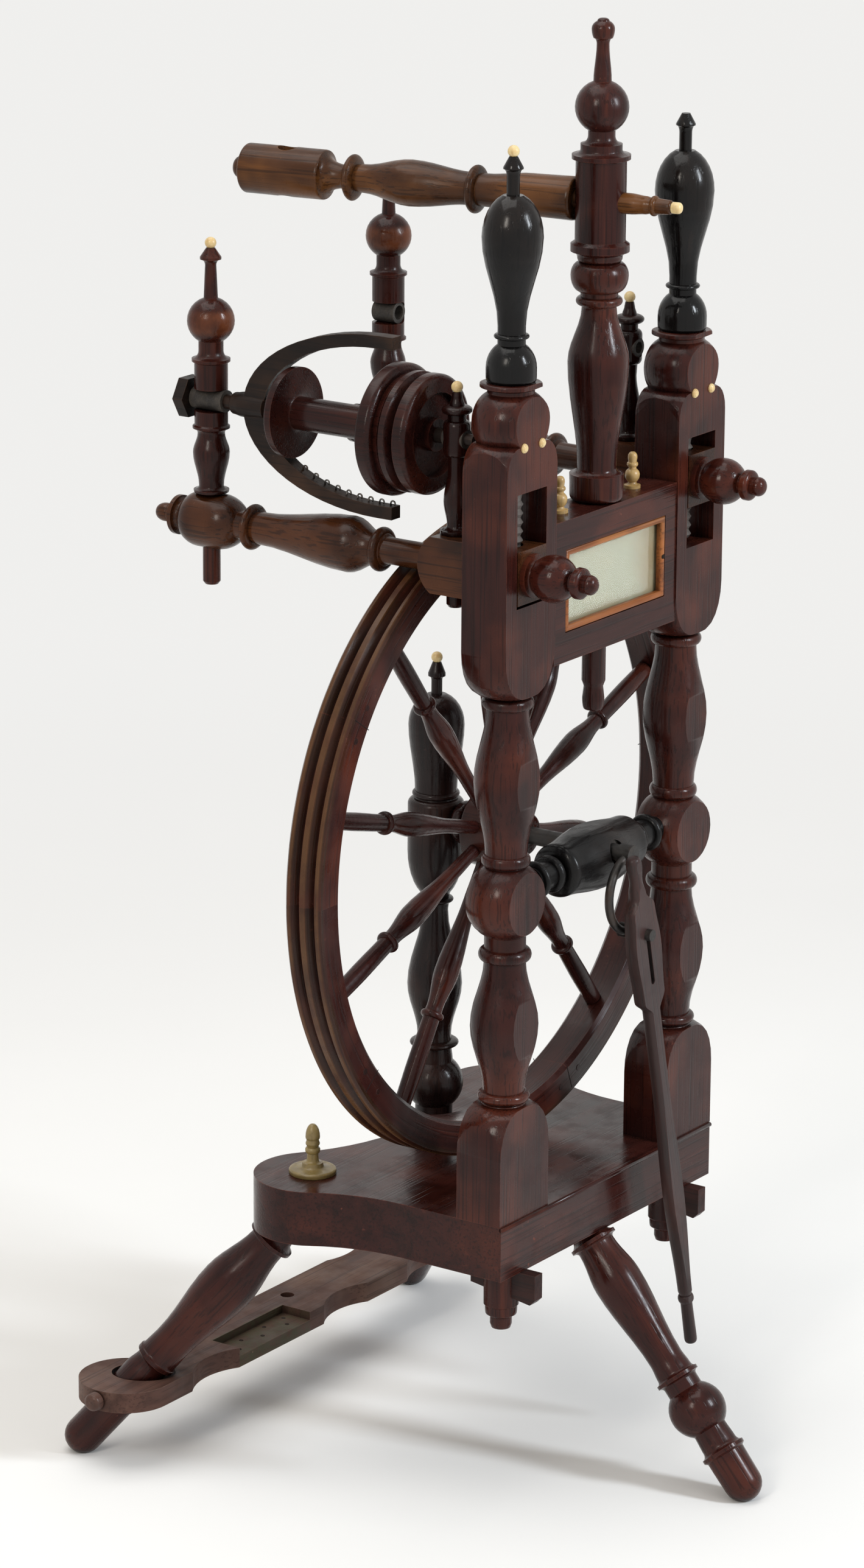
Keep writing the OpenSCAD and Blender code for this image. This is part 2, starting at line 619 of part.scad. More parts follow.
module arm(side) color("#5a3424") difference() {
  at_arm(side) union() {
    translate([-arm_tenon_w/2, knob_seat, -arm_tenon_h/2])
      cube([arm_tenon_w, arm_pad_start - knob_seat + 2, arm_tenon_h]);
    drill_back(knob_stud_r, knob_seat - 22, knob_seat + 1);
    intersection() {
      translate([-pad_half, arm_pad_start, -pad_half - 2])
        cube([2*pad_half, front_pad_end - arm_pad_start, 2*pad_half + 4]);
      translate([0, front_pad_end - pad_half - 6, 0]) rotate([0, 90, 0]) union() {
        cylinder(r = pad_half + 6, h = 2*pad_half, center = true);
        translate([-pad_half - 2, -60, -pad_half]) cube([2*pad_half + 4, 60, 2*pad_half]);
      }
    }
    turned_back(concat([[front_pad_end - 2, arm_neck_r], [neck_end, arm_neck_r]],
      bead(neck_end + 5, 15, 11, 7), [[swell_y, arm_swell_r, OGEE], [rear_maiden_y - 42, 11, OGEE]],
      bead(rear_maiden_y - 35, 15.6, 10.5, 6), [[rear_maiden_y - 25, 10],
        [rear_maiden_y - maiden_tenon_r - 1, arm_ball_r, ROUND],
        [rear_maiden_y + maiden_tenon_r + 1, arm_ball_r], [rear_maiden_y + 22, 10, ROUND],
        [rear_maiden_y + 25, 13.5, COVE], [rear_maiden_y + 28, 13.5], [rear_maiden_y + 35, 6, COVE],
        [rear_maiden_y + 38, 6.4, BALL], [rear_maiden_y + 45, 2, BALL]]));
  }
  at_arm(side) drill(screw_r + face_gap, -hidden_big/10, hidden_big/10);
  for (y = [front_maiden_y, rear_maiden_y])
    at_arm(side) translate([0, y, 0]) drill(maiden_tenon_r + seat_fit, -60, 60);
}
module arm_left() arm(-1);
module arm_right() arm(1);

module arm_knob(side) color("#4a2a26") at_arm(side) difference() {
  ball_r = 15.8;
  ball_at = knob_seat - 17.5;
  turned_back([[knob_seat - 50, 1.5], [knob_seat - 45, 6.6, BALL], [knob_seat - 41, 6, COVE],
    [knob_seat - 38.5, 10.4, BALL], [knob_seat - 35.5, 10.4], [knob_seat - 33, 6.8, COVE],
    [ball_at - rise(ball_r, 6.8), 6.8], [ball_at, ball_r, ROUND], [knob_seat - 5, 11, ROUND],
    [knob_seat - 3.5, 14.5, COVE], [knob_seat, 14.5]]);
  drill_back(knob_stud_r + seat_fit, knob_seat - 22.5, knob_seat + 1);
}
module arm_knob_left() arm_knob(-1);
module arm_knob_right() arm_knob(1);

// Maidens

bearing_r = 7.5;
front_shaft_r = 4;
front_bearing_r = 6.5;

module rear_maiden(side) color("#4a2a26") at_arm(side) translate([0, rear_maiden_y, 0]) difference() {
  top = flyer_rise + 106;
  seat = arm_ball_r;
  ball = flyer_rise + 53.5;
  ball_r = 16;
  neck_r = 8.4;
  turned([[-44, maiden_tenon_r - 1.5], [-42, maiden_tenon_r], [seat, maiden_tenon_r],
    [seat + 0.5, 11.5], [seat + 2.5, 12, BALL], [seat + 5, 8.4, COVE], [flyer_rise - 36, 12.4, OGEE],
    [flyer_rise - 23, 9.2, OGEE], [flyer_rise - 19.5, 12.6, COVE], [flyer_rise - 18, 12.6],
    [flyer_rise - 17, 11.3], [flyer_rise + 25, 11.3], [flyer_rise + 26, 13], [flyer_rise + 28, 13],
    [flyer_rise + 33, neck_r, COVE], [ball - rise(ball_r, neck_r), neck_r], [ball, ball_r, ROUND],
    [ball + rise(ball_r, 4.8), 4.8, ROUND], [flyer_rise + 91, 3.8], [flyer_rise + 95, 7.2, COVE],
    [flyer_rise + 96.5, 7.2], [top - bead_seat, 3]]);
  translate([0, 0, flyer_rise]) drill_back(bearing_r + seat_fit, -30, 30);
  // Notch that lets the bearing out to the left
  translate([-30, -30, flyer_rise - bearing_r]) cube([30, 60, 2*bearing_r]);
}
module rear_maiden_left() rear_maiden(-1);
module rear_maiden_right() rear_maiden(1);

module front_maiden(side) color("#4a2a26") at_arm(side) translate([0, front_maiden_y, 0]) difference() {
  top = flyer_rise + 34;
  seat = pad_half + 2;
  turned(concat([[-30, maiden_tenon_r - 1.5], [-28, maiden_tenon_r], [seat, maiden_tenon_r],
    [seat, 10], [seat + 3, 10.5, BALL],
    [seat + 6, 6, COVE], [flyer_rise - 42, 8.4, OGEE], [flyer_rise - 20, 5.5, OGEE],
      [flyer_rise - 12, 6], [flyer_rise - 8, 9, BALL],
    [flyer_rise + 8, 9], [flyer_rise + 12, 6, BALL], [flyer_rise + 16, 6],
      [flyer_rise + 19, 10.2, BALL], [flyer_rise + 22, 5, BALL],
    [top - bead_seat - 3, 3.6, OGEE], [top - bead_seat, 3]]));
  translate([0, 0, flyer_rise]) drill_back(front_bearing_r + seat_fit, -30, 30);
}
module front_maiden_left() front_maiden(-1);
module front_maiden_right() front_maiden(1);

// The right rear maiden has lost its bead
module maiden_beads(side) color("#ead9a2") at_arm(side) {
  if (side < 0) translate([0, rear_maiden_y, flyer_rise + 106]) bone_bead();
  translate([0, front_maiden_y, flyer_rise + 34]) bone_bead();
}
module maiden_beads_left() maiden_beads(-1);
module maiden_beads_right() maiden_beads(1);

rear_bush_half = 13;
spare_bush_half = 9;
front_bush_half = 8;
module flyer_bush(y, r, hole, half) translate([0, y, flyer_rise]) difference() {
  drill_back(r, -half, half);
  drill_back(hole, -half - 1, half + 1);
}
module bush_pair(side) at_arm(side) {
  flyer_bush(rear_maiden_y, bearing_r, flyer_shaft_r + run_fit,
    side < 0 ? rear_bush_half : spare_bush_half);
  flyer_bush(front_maiden_y, front_bearing_r, front_shaft_r + run_fit, front_bush_half);
}
module flyer_bushes() color("#3b2a20") bush_pair(-1);
module spare_bushes() color("#3b2a20") bush_pair(1);

// Flyer, whorls and bobbin, on the left arm

flyer_apex_y = rear_maiden_y - 30;
flyer_bow = 110;
flyer_inner_bow = 92;
flyer_crown = 16.7;
flyer_arms_len = 121;
whorl_front = front_maiden_y + 15;
whorl_len = 21;
bobbin_front = whorl_front + whorl_len + face_gap;
bobbin_rear = flyer_apex_y - 33.6;

module at_flyer() at_arm(-1) translate([0, 0, flyer_rise]) children();

// Height of an ellipse's edge at a distance from its end, level past its middle
function bow_height(d, bow, reach) = reach*sqrt(1 - pow(1 - min(d/bow, 1), 2));
function flyer_inner(d) = bow_height(d - flyer_crown, flyer_inner_bow, flyer_reach);

// One edge of the horseshoe from its end to the tip, in even turns
function bow_edge(end, bow, reach) = concat(
  [for (q = [0:6:84]) [flyer_apex_y - end - bow*(1 - cos(q)), reach*sin(q)]],
  [[flyer_apex_y - end - bow, reach], [flyer_apex_y - flyer_arms_len, reach]]);
function turned_over(p) = [for (i = [len(p) - 1:-1:0]) [p[i][0], -p[i][1]]];

module flyer() color("#241a18") at_flyer() {
  outer = bow_edge(0, flyer_bow, flyer_reach + flyer_depth);
  inner = bow_edge(flyer_crown, flyer_inner_bow, flyer_reach);
  turned_back([[front_maiden_y - 14, front_shaft_r - 0.6], [front_maiden_y - 12, front_shaft_r],
    [front_maiden_y + front_bush_half + 1, front_shaft_r],
      [front_maiden_y + front_bush_half + 1, flyer_shaft_r],
    [flyer_apex_y - flyer_crown - 2, flyer_shaft_r], [flyer_apex_y - flyer_crown, 8],
    [flyer_apex_y + 2, 8.5, OGEE], [flyer_apex_y + 9, 7.5, OGEE], [flyer_apex_y + 11, flyer_shaft_r, BALL],
    [rear_maiden_y + rear_bush_half + orifice_len + 2, flyer_shaft_r]]);
  translate([-flyer_t/2, 0, 0]) rotate([90, 0, 90]) linear_extrude(flyer_t)
    polygon(concat(turned_over(outer), outer, [for (i = [len(inner) - 1:-1:0]) inner[i]],
      [for (p = inner) [p[0], -p[1]]]));
}
hook_r = 0.8;
hook_len = 4.5;
hook_sink = 2.5;
module flyer_hooks() color("#6a6258") at_flyer() for (i = [0:hook_count - 1]) {
  d = 46 + i*(flyer_arms_len - 50)/(hook_count - 1);
  translate([0, flyer_apex_y - d, -flyer_inner(d)]) drill(hook_r, -hook_sink, hook_len);
}
module flyer_whorl() color("#4a2a26") at_flyer() difference() {
  groove = flyer_whorl_r - 6;
  turned_back([[whorl_front, flyer_whorl_r - 5], [whorl_front + 4, flyer_whorl_r, BALL],
    [whorl_front + 9, flyer_whorl_r], [whorl_front + 12.5, groove], [whorl_front + 16, flyer_whorl_r],
    [whorl_front + whorl_len - 1, flyer_whorl_r], [whorl_front + whorl_len, flyer_whorl_r - 1]]);
  drill_back(flyer_shaft_r + seat_fit, whorl_front - 1, whorl_front + whorl_len + 1);
  difference() {
    drill_back(flyer_whorl_r - 12, whorl_front - 1, whorl_front + 5);
    drill_back(flyer_shaft_r + 6, whorl_front - 2, whorl_front + 6);
  }
}
orifice_r = 15;
orifice_len = 8;
module orifice() color("#171314") at_flyer() difference() {
  translate([0, rear_maiden_y + rear_bush_half + face_gap, 0]) rotate([-90, 0, 0])
    cylinder(r = orifice_r, h = orifice_len, $fn = 6);
  drill_back(flyer_shaft_r + seat_fit, rear_maiden_y, rear_maiden_y + 40);
}
module bobbin() color("#3a2320") at_flyer() difference() {
  barrel = 11.3;
  turned_back([[bobbin_front, bobbin_whorl_r - 5], [bobbin_front + 4, bobbin_whorl_r - 6],
    [bobbin_front + 8, bobbin_whorl_r, BALL], [bobbin_front + 13, bobbin_whorl_r],
    [bobbin_front + 15, bobbin_whorl_r - 2, BALL], [bobbin_front + 18, barrel, COVE],
    [bobbin_rear - 9, barrel], [bobbin_rear - 7, bobbin_flange_r, COVE],
    [bobbin_rear - 3, bobbin_flange_r], [bobbin_rear, bobbin_flange_r - 5, BALL]]);
  drill_back(flyer_shaft_r + run_fit, bobbin_front - 1, bobbin_rear + 1);
}

// Distaff post and its turned arm

distaff_seat = panel_top + face_gap;

module at_distaff() on_board() translate([0, 0, distaff_seat]) children();
module at_distaff_arm() at_distaff() translate([0, 0, distaff_arm_h]) rotate([0, 0, distaff_turn])
  children();
distaff_drum_r = 16.8;

module distaff_post() color("#4a2a26") difference() {
  mid = distaff_arm_h;
  ball = mid + 62;
  ball_r = 17.8;
  at_distaff() turned(concat([[-distaff_tenon_len, distaff_tenon_r - 2],
    [-distaff_tenon_len + 8, distaff_tenon_r - 0.5, BALL],
    [-distaff_tenon_len + 16, distaff_tenon_r - 1.5], [-distaff_tenon_len + 20, distaff_tenon_r],
      [0, distaff_tenon_r],
    [0, 15], [4, 18, BALL], [18, 18.2], [22, 13, COVE], [mid - 107, 20.4, OGEE], [mid - 70, 11.5, OGEE]],
    bead(mid - 66, 15.5, 12.5, 6), [[mid - 60, 12.5], [mid - 49, 19.2, BALL], [mid - 40, 13, BALL],
      [mid - 37, 15, BALL],
      [mid - 33, 19.5, COVE], [mid - 28, 19.5], [mid - 26, distaff_drum_r], [mid + 27, distaff_drum_r],
      [mid + 28, 19.4, COVE], [mid + 31, 19.4], [mid + 34, 13.8, COVE], [mid + 38, 13.8],
        [mid + 43, 9, COVE],
      [ball - rise(ball_r, 9), 9], [ball, ball_r, ROUND], [ball + rise(ball_r, 6), 6, ROUND],
      [distaff_h - 17, 4.2, OGEE], [distaff_h - 13, 6.4, COVE], [distaff_h - 7, 7.6, ROUND],
      [distaff_h - 2, 4, ROUND], [distaff_h, 1, BALL]]));
  at_distaff_arm() drill_back(distaff_tail_r + run_fit, -40, 40);
}
module distaff_arm() color("#6e4526") difference() {
  shoulder = distaff_drum_r + face_gap;
  head = socket_reach - 29;
  at_distaff_arm() turned_back(concat([[-51, 3.4], [-49, 4.8, BALL], [-42, 5.2]], bead(-38.5, 6.8, 5.2, 4),
    [[-33, 6], [-distaff_drum_r - 4, distaff_tail_r, OGEE], [shoulder, distaff_tail_r],
      [shoulder, 13.4], [shoulder + 3, 14.6, BALL], [50, 14], [84, 11, OGEE]],
    bead(90, 16.2, 11, 7), [[138, 15.6, OGEE], [174, 9.5, OGEE]], bead(181, 15.6, 9, 7),
    [[187, 8], [head, 16, COVE], [head + 2, 16.8, BALL], [socket_reach + 29, 16.8],
      [socket_reach + 31, 15, BALL],
      [socket_reach + 34, 8, COVE], [socket_reach + 40, 3, BALL]]));
  at_distaff_arm() translate([0, socket_reach, 0]) drill(socket_r, -30, 30);
}
module distaff_bead() color("#ead9a2") at_distaff_arm() turned_back([[-58, 1], [-55.5, 3.8, BALL],
  [-52, 3.8, BALL], [-51, 3.2, BALL]]);

// Drive wheel

module felloe(k) color("#4a2a26") at_axle() translate([0, wheel_back, 0]) rotate([-90, 0, 0]) difference() {
  span = 720/spoke_count;
  w = rim_w/2;
  // The turn is mirrored because the axle points back
  rotate([0, 0, -spoke_turn - span/4 - k*span]) rotate([0, 0, -span/2])
    rotate_extrude(angle = span, $fn = 160)
      polygon([[rim_in, -w + 3], [rim_in + 3, -w], [wheel_r - 2, -w], [wheel_r, -w + 2], [wheel_r, -w + 4],
        [wheel_r - 5, -w/2 + 1], [wheel_r, -2], [wheel_r, 2], [wheel_r - 5, w/2 - 1], [wheel_r, w - 4],
        [wheel_r, w - 2], [wheel_r - 2, w], [rim_in + 3, w], [rim_in, w - 3]]);
  for (j = [0, 1]) rotate([0, 0, -spoke_turn - (2*k + j)*span/2])
    rotate([0, 90, 0]) drill(spoke_end_r + seat_fit, rim_in - 10, rim_in + 8);
}
module felloe_1() felloe(0);
module felloe_2() felloe(1);
module felloe_3() felloe(2);
module felloe_4() felloe(3);
module felloe_5() felloe(4);

spoke_end_r = 4.5;
hub_hole = 14;
module spokes() color("#4a2a26") at_axle() translate([0, wheel_back, 0]) rotate([-90, 0, 0])
  for (i = [0:spoke_count - 1]) rotate([0, 0, -spoke_turn - i*360/spoke_count]) rotate([0, 90, 0])
    turned(concat([[hub_hole + 0.5, spoke_end_r], [hub_r + 1, spoke_end_r], [hub_r + 28, 5, OGEE],
      [rim_in - 96, spoke_r, OGEE], [rim_in - 71, 5.6, OGEE]], bead(rim_in - 65, 8, 5.8, 5),
      [[rim_in - 30, 6.2, OGEE], [rim_in - 1.5, 5.8, OGEE], [rim_in - 1, spoke_end_r],
        [rim_in + 7, spoke_end_r]]));

module wheel_hub() color("#4a2a26") at_axle() difference() {
  h = hub_len/2;
  translate([0, wheel_back, 0]) turned_back([[-h, 13], [-h + 4, 15, BALL], [-h + 8, 12, BALL],
    [-h + 12, 19, COVE],
    [-12, hub_r - 2, OGEE], [-10, hub_r, BALL], [10, hub_r], [12, hub_r - 2, BALL], [h - 12, 19, OGEE],
    [h - 8, 12, COVE], [h - 4, 15, BALL], [h, 13, BALL]]);
  drill_back(axle_r + seat_fit, 0, 2*wheel_back);
  translate([0, wheel_back, 0]) rotate([-90, 0, 0]) for (i = [0:spoke_count - 1])
    rotate([0, 0, -spoke_turn - i*360/spoke_count]) rotate([0, 90, 0])
      drill(spoke_end_r + seat_fit, hub_hole, hub_r + 10);
}

// Axle and crank, forged in one

crank_bow = 23;
crank_bow_r = 3;
pin_front = footman_front + footman_t/2 + 4;
module crank_axle() color("#2c2a2a") at_axle() {
  bow_r = (crank_throw*crank_throw/4 + crank_bow*crank_bow)/(2*crank_bow);
  half_angle = asin(crank_throw/2/bow_r);
  drill_back(axle_r, -crank_front + crank_r, rear_post_back + bush_depth - 1);
  drill_back(axle_r + 1, -crank_front - crank_r, -crank_front + crank_r + 2);
  translate([bow_r - crank_bow, -crank_front, -crank_throw/2]) rotate([90, 0, 0])
    rotate([0, 0, 180 - half_angle]) rotate_extrude(angle = 2*half_angle) translate([bow_r, 0])
      circle(r = crank_bow_r);
  translate([0, 0, -crank_throw]) {
    drill_back(crank_r, -pin_front, -crank_front + crank_r + 1.5);
    drill_back(crank_r + 1, -crank_front - crank_r - 1, -crank_front + crank_r + 1.5);
  }
}

// Footman, hanging from the crank pin

module footman() color("#4a2622") at_axle() translate([0, -footman_front, -crank_throw])
  rotate([0, -footman_lean, 0])
  difference() {
    tip = -footman_len;
    union() {
      intersection() {
        turned([[-60, 6], [-48, 13, OGEE], [-10, 15.5, OGEE], [18, 13, OGEE], [30, 6, OGEE],
          [40, 4.5, OGEE],
          [52, 5.5, OGEE], [58, 3, BALL]]);
        translate([-20, -footman_t/2, -80]) cube([40, footman_t, 160]);
      }
      intersection() {
        turned(concat([[tip, 3.4], [tip + 3, 4.5, BALL], [tip + 30, 4.2]], bead(tip + 36, 5.6, 4.2, 6),
          [[tip + 42, 5], [tip + 122, 8, OGEE], [-120, 6, OGEE], [-60, 6.2], [-59, 6]]));
        translate([-20, -footman_t/2, tip - 1]) cube([40, footman_t, footman_len]);
      }
    }
    drill_back(crank_r + run_fit, -20, 20);
    translate([-2.2, -20, -36]) cube([4.4, 40, 36 - crank_r + 1]);
    translate([0, 0, -36]) drill_back(2.2, -20, 20);
  }

// Treadle bar on two pins in the rear legs

module at_treadle() translate([0, post_y + treadle_back, treadle_z]) children();
treadle_pin_len = treadle_end_r + 20;
module at_treadle_pin(side) at_treadle() translate([side*(treadle_end_x + treadle_end_r), 0, 0])
  rotate([0, -side*90, 0]) children();
leg_hole_r = 16.6;
scoop_r = 50;
scoop_depth = 8;
lap_depth = 6;

module treadle_bar() color("#54342c") difference() {
  at_treadle() translate([0, 0, -treadle_t/2]) linear_extrude(treadle_t) difference() {
    union() {
      for (s = [-1, 1]) translate([s*treadle_end_x, 0]) circle(r = treadle_end_r);
      translate([-treadle_end_x, -treadle_end_r]) square([2*treadle_end_x, treadle_end_r]);
      translate([-treadle_end_x, -1]) square([2*treadle_end_x, treadle_w - treadle_end_r + 1]);
    }
    for (s = [-1, 1]) translate([s*92, treadle_w - treadle_end_r + 46]) circle(r = scoop_r);
    for (x = [-130, 26, 130]) translate([x, -treadle_end_r - scoop_r + scoop_depth]) circle(r = scoop_r);
  }
  at_treadle() translate([lap_x - lap_w/2, -treadle_end_r - 1, treadle_t/2 - lap_depth])
    cube([lap_w, 25, lap_depth + 1]);
  at_treadle() drill(5, -treadle_t, treadle_t);
  for (s = [-1, 1]) rear_leg_place(s) drill(leg_hole_r, 100, 220);
  for (s = [-1, 1]) at_treadle_pin(s) drill(treadle_pin_r + run_fit, -1, treadle_pin_len);
}
module treadle_pins() color("#5a3a2c") for (s = [-1, 1]) at_treadle_pin(s)
  turned([[-8, 3], [-5, 6.2, BALL], [-1.5, 6.6], [-face_gap, 5, BALL], [-face_gap, treadle_pin_r],
    [treadle_pin_len - 1, treadle_pin_r]]);

board();
leg_front();
leg_rear_left();
leg_rear_right();
post_left();
post_right();
post_keys();
rear_post();
rear_post_bead();
stretcher();
axle_bushes();
name_panel();
panel_moulding();
label_card();
label_glass();
crest_finials();
board_finials();
screw_studs();
treadle_pins();
felloe_1();
felloe_2();
felloe_3();
felloe_4();
felloe_5();
spokes();
wheel_hub();
crank_axle();
footman();
treadle_bar();
screw_left();
screw_right();
screw_bead();
arm_left();
arm_right();
arm_knob_left();
arm_knob_right();
rear_maiden_left();
front_maiden_left();
rear_maiden_right();
front_maiden_right();
maiden_beads_left();
maiden_beads_right();
flyer_bushes();
spare_bushes();
flyer();
flyer_hooks();
flyer_whorl();
orifice();
bobbin();
distaff_post();
distaff_arm();
distaff_bead();
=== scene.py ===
"""Finishes, fine pieces and stage for the upright spinning wheel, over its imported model."""

import math

import bmesh
import bpy
from mathutils import Matrix, Vector


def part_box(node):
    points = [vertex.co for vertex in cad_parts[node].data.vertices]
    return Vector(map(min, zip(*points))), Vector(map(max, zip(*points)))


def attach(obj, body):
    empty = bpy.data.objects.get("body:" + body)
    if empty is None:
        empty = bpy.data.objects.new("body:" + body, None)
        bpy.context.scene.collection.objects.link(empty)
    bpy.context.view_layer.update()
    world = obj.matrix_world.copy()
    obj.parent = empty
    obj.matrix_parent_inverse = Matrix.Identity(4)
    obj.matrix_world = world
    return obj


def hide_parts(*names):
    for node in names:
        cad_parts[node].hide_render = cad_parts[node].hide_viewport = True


bl_info = {
    "name": "Upright spinning wheel",
    "version": (1, 0, 0),
    "blender": (4, 5, 0),
    "location": "View3D > Sidebar > Spinning wheel",
    "description": "Dresses the packed model of an upright spinning wheel",
    "category": "Object",
}

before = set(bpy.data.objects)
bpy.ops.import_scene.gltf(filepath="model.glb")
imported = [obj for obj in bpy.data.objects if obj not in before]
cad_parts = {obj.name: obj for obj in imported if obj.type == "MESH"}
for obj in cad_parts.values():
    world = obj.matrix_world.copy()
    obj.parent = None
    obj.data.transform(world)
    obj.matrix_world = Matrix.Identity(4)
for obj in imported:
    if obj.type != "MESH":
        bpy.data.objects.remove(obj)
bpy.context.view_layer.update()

MM = 0.001

# Plane of the front posts, and the wheel's middle
POST_Y = -0.0745
AXLE = Vector((0.0, POST_Y + 0.078, 0.439))

# Leans and headings of the pieces whose grain doesn't follow an axis
FRONT_SPLAY = math.radians(40)
REAR_SPLAY = math.radians(41.5)
REAR_HEADING = math.radians(31.5)
DISTAFF_TURN = math.radians(8.5)
FOOTMAN_LEAN = math.radians(13)

# Rim: half its width, the first joint's turn, and the radii of its joint lines, pegs, grooves and ridges
FELLOES = 5
RIM_HALF_WIDTH = 0.014
FIRST_JOINT = 3
JOINT_RADIUS = 0.2115
JOINT_LENGTH = 0.0185
JOINT_HEIGHT = 0.00030
PEG_RING = 0.2125
PEG_TURN = 0.055
PEG_HEIGHT = 0.0010
PEG_SUNK = 0.0002
GROOVE_RADII = (0.2190, 0.2215)
RIDGE_RADII = (0.2238, 0.2250)
GRAIN_RADIUS = 0.21

# Flyer: its axis, the back of its bow, the bow's crown, length and reach, and its hooks
FLYER_X = -0.103
FLYER_APEX_Y = 0.211 + POST_Y
FLYER_CROWN = 0.0167
FLYER_BOW = 0.092
FLYER_REACH = 0.0525
HOOKS = 9
FIRST_HOOK = 0.046
HOOK_RUN = 0.071
HOOK_SUNK = 1.5 * MM
HOOK_SHANK = 3.2 * MM
HOOK_BEND = 1.7 * MM

# Foot of the screws' handles, where the bare thread begins
THREAD_TOP = (0.722, 0.716)

# Treadle's lap: its depth, the fading edges of its stain, and its nails across and back in mm
LAP_DEPTH = 6 * MM
LAP_LEFT = (-0.1030, -0.1010)
LAP_RIGHT = (-0.0170, -0.0190)
LAP_BACK = (0.1712, 0.1702)
LAP_NAILS = ((-92, 153), (-78, 162), (-62, 155), (-48, 164), (-34, 154), (-26, 163))

# Half the length of the bead on the board's front edge
BEAD_HALF = 0.131
# Label's glass: its thickness, its distance behind the plain glass's front, and the room at its edges
PANE_THICK = 1.2 * MM
PANE_SET_BACK = 0.2 * MM
PANE_ROOM = 1 * MM
# How far the rounded moulding stands proud of the plain one
MOULDING_PROUD = 0.4 * MM
# Distance within which points are merged
WELD = 0.00001

# Camera: heading, lift and roll in degrees, place, focal length and image height in pixels
CAMERA_ANGLES = (-55.494, 16.201, 0.411)
CAMERA_PLACE = (-3.1379, -2.1012, 1.5677)
FOCAL_PIXELS = 9500
IMAGE_HEIGHT = 2576
SENSOR = 36


class FinishSettings(bpy.types.PropertyGroup):
    """Colours of the woods, the bone and the label."""

    mahogany_dark: bpy.props.FloatVectorProperty(
        name="Mahogany dark", description="Pores and dark bands of the polished wood",
        subtype="COLOR", size=3, default=(0.0070, 0.0018, 0.0016))
    mahogany_mid: bpy.props.FloatVectorProperty(
        name="Mahogany middle", description="Main tone of the polished wood",
        subtype="COLOR", size=3, default=(0.032, 0.0072, 0.0054))
    mahogany_light: bpy.props.FloatVectorProperty(
        name="Mahogany light", description="Rubbed and figured places of the polished wood",
        subtype="COLOR", size=3, default=(0.108, 0.0250, 0.0125))
    walnut_dark: bpy.props.FloatVectorProperty(
        name="Brown wood dark", description="Dark bands of the browner arms",
        subtype="COLOR", size=3, default=(0.0115, 0.0042, 0.0017))
    walnut_mid: bpy.props.FloatVectorProperty(
        name="Brown wood middle", description="Main tone of the browner arms",
        subtype="COLOR", size=3, default=(0.054, 0.0190, 0.0062))
    walnut_light: bpy.props.FloatVectorProperty(
        name="Brown wood light", description="Rubbed places of the browner arms",
        subtype="COLOR", size=3, default=(0.185, 0.070, 0.0175))
    ebony: bpy.props.FloatVectorProperty(
        name="Black stain", description="Main tone of the black pieces",
        subtype="COLOR", size=3, default=(0.0042, 0.0039, 0.0040))
    ebony_worn: bpy.props.FloatVectorProperty(
        name="Black stain rubbed", description="Brown that shows where the stain is rubbed",
        subtype="COLOR", size=3, default=(0.019, 0.012, 0.0095))
    bone: bpy.props.FloatVectorProperty(
        name="Bone", description="Main tone of the beads and studs",
        subtype="COLOR", size=3, default=(0.74, 0.58, 0.30))
    bone_stain: bpy.props.FloatVectorProperty(
        name="Bone stain", description="Tone of the streaks in the bone",
        subtype="COLOR", size=3, default=(0.46, 0.27, 0.085))
    parchment: bpy.props.FloatVectorProperty(
        name="Label", description="Tone of the bare label",
        subtype="COLOR", size=3, default=(0.40, 0.405, 0.295))
    parchment_stain: bpy.props.FloatVectorProperty(
        name="Label stain", description="Tone of the stains on the label",
        subtype="COLOR", size=3, default=(0.24, 0.165, 0.075))


class DetailSettings(bpy.types.PropertyGroup):
    """Sizes of the small pieces."""

    hook_wire: bpy.props.FloatProperty(
        name="Hook wire", description="Radius of a flyer hook's wire",
        default=0.6 * MM, min=0.3 * MM, max=1.2 * MM, unit="LENGTH")
    joint_gap: bpy.props.FloatProperty(
        name="Felloe joint", description="Width of the dark line where two felloes meet",
        default=0.5 * MM, min=0.1 * MM, max=1.5 * MM, unit="LENGTH")
    peg_radius: bpy.props.FloatProperty(
        name="Rim peg", description="Radius of a peg's end in the rim",
        default=2.6 * MM, min=1 * MM, max=4 * MM, unit="LENGTH")
    edge_bead: bpy.props.FloatProperty(
        name="Board bead", description="Radius of the bead along the board's front edge",
        default=1.7 * MM, min=0.5 * MM, max=3 * MM, unit="LENGTH")
    moulding_width: bpy.props.FloatProperty(
        name="Moulding", description="Width of the moulding round the label",
        default=4.5 * MM, min=3 * MM, max=8 * MM, unit="LENGTH")
    nail_radius: bpy.props.FloatProperty(
        name="Nail hole", description="Radius of a nail hole in the treadle's lap",
        default=1.4 * MM, min=0.5 * MM, max=3 * MM, unit="LENGTH")


class StageSettings(bpy.types.PropertyGroup):
    """Floor and light."""

    floor: bpy.props.FloatVectorProperty(
        name="Floor", description="Tone of the floor", subtype="COLOR", size=3,
        default=(0.86, 0.855, 0.84))
    ground: bpy.props.FloatVectorProperty(
        name="Background", description="Tone of the pale background", subtype="COLOR", size=3,
        default=(0.87, 0.865, 0.85))
    sky: bpy.props.FloatProperty(
        name="Fill light", description="Strength of the even light from all round",
        default=0.44, min=0.0, max=2.0)
    window_power: bpy.props.FloatProperty(
        name="Window", description="Power of the large light at the right", default=95.0,
        min=0.0, max=500.0, unit="POWER")
    lamp_power: bpy.props.FloatProperty(
        name="Lamp", description="Power of the soft light at the left", default=46.0,
        min=0.0, max=500.0, unit="POWER")
    ceiling_power: bpy.props.FloatProperty(
        name="Ceiling", description="Power of the wide light from above", default=70.0,
        min=0.0, max=500.0, unit="POWER")


def finish():
    """The colours in use."""
    return bpy.context.scene.wheel_finish


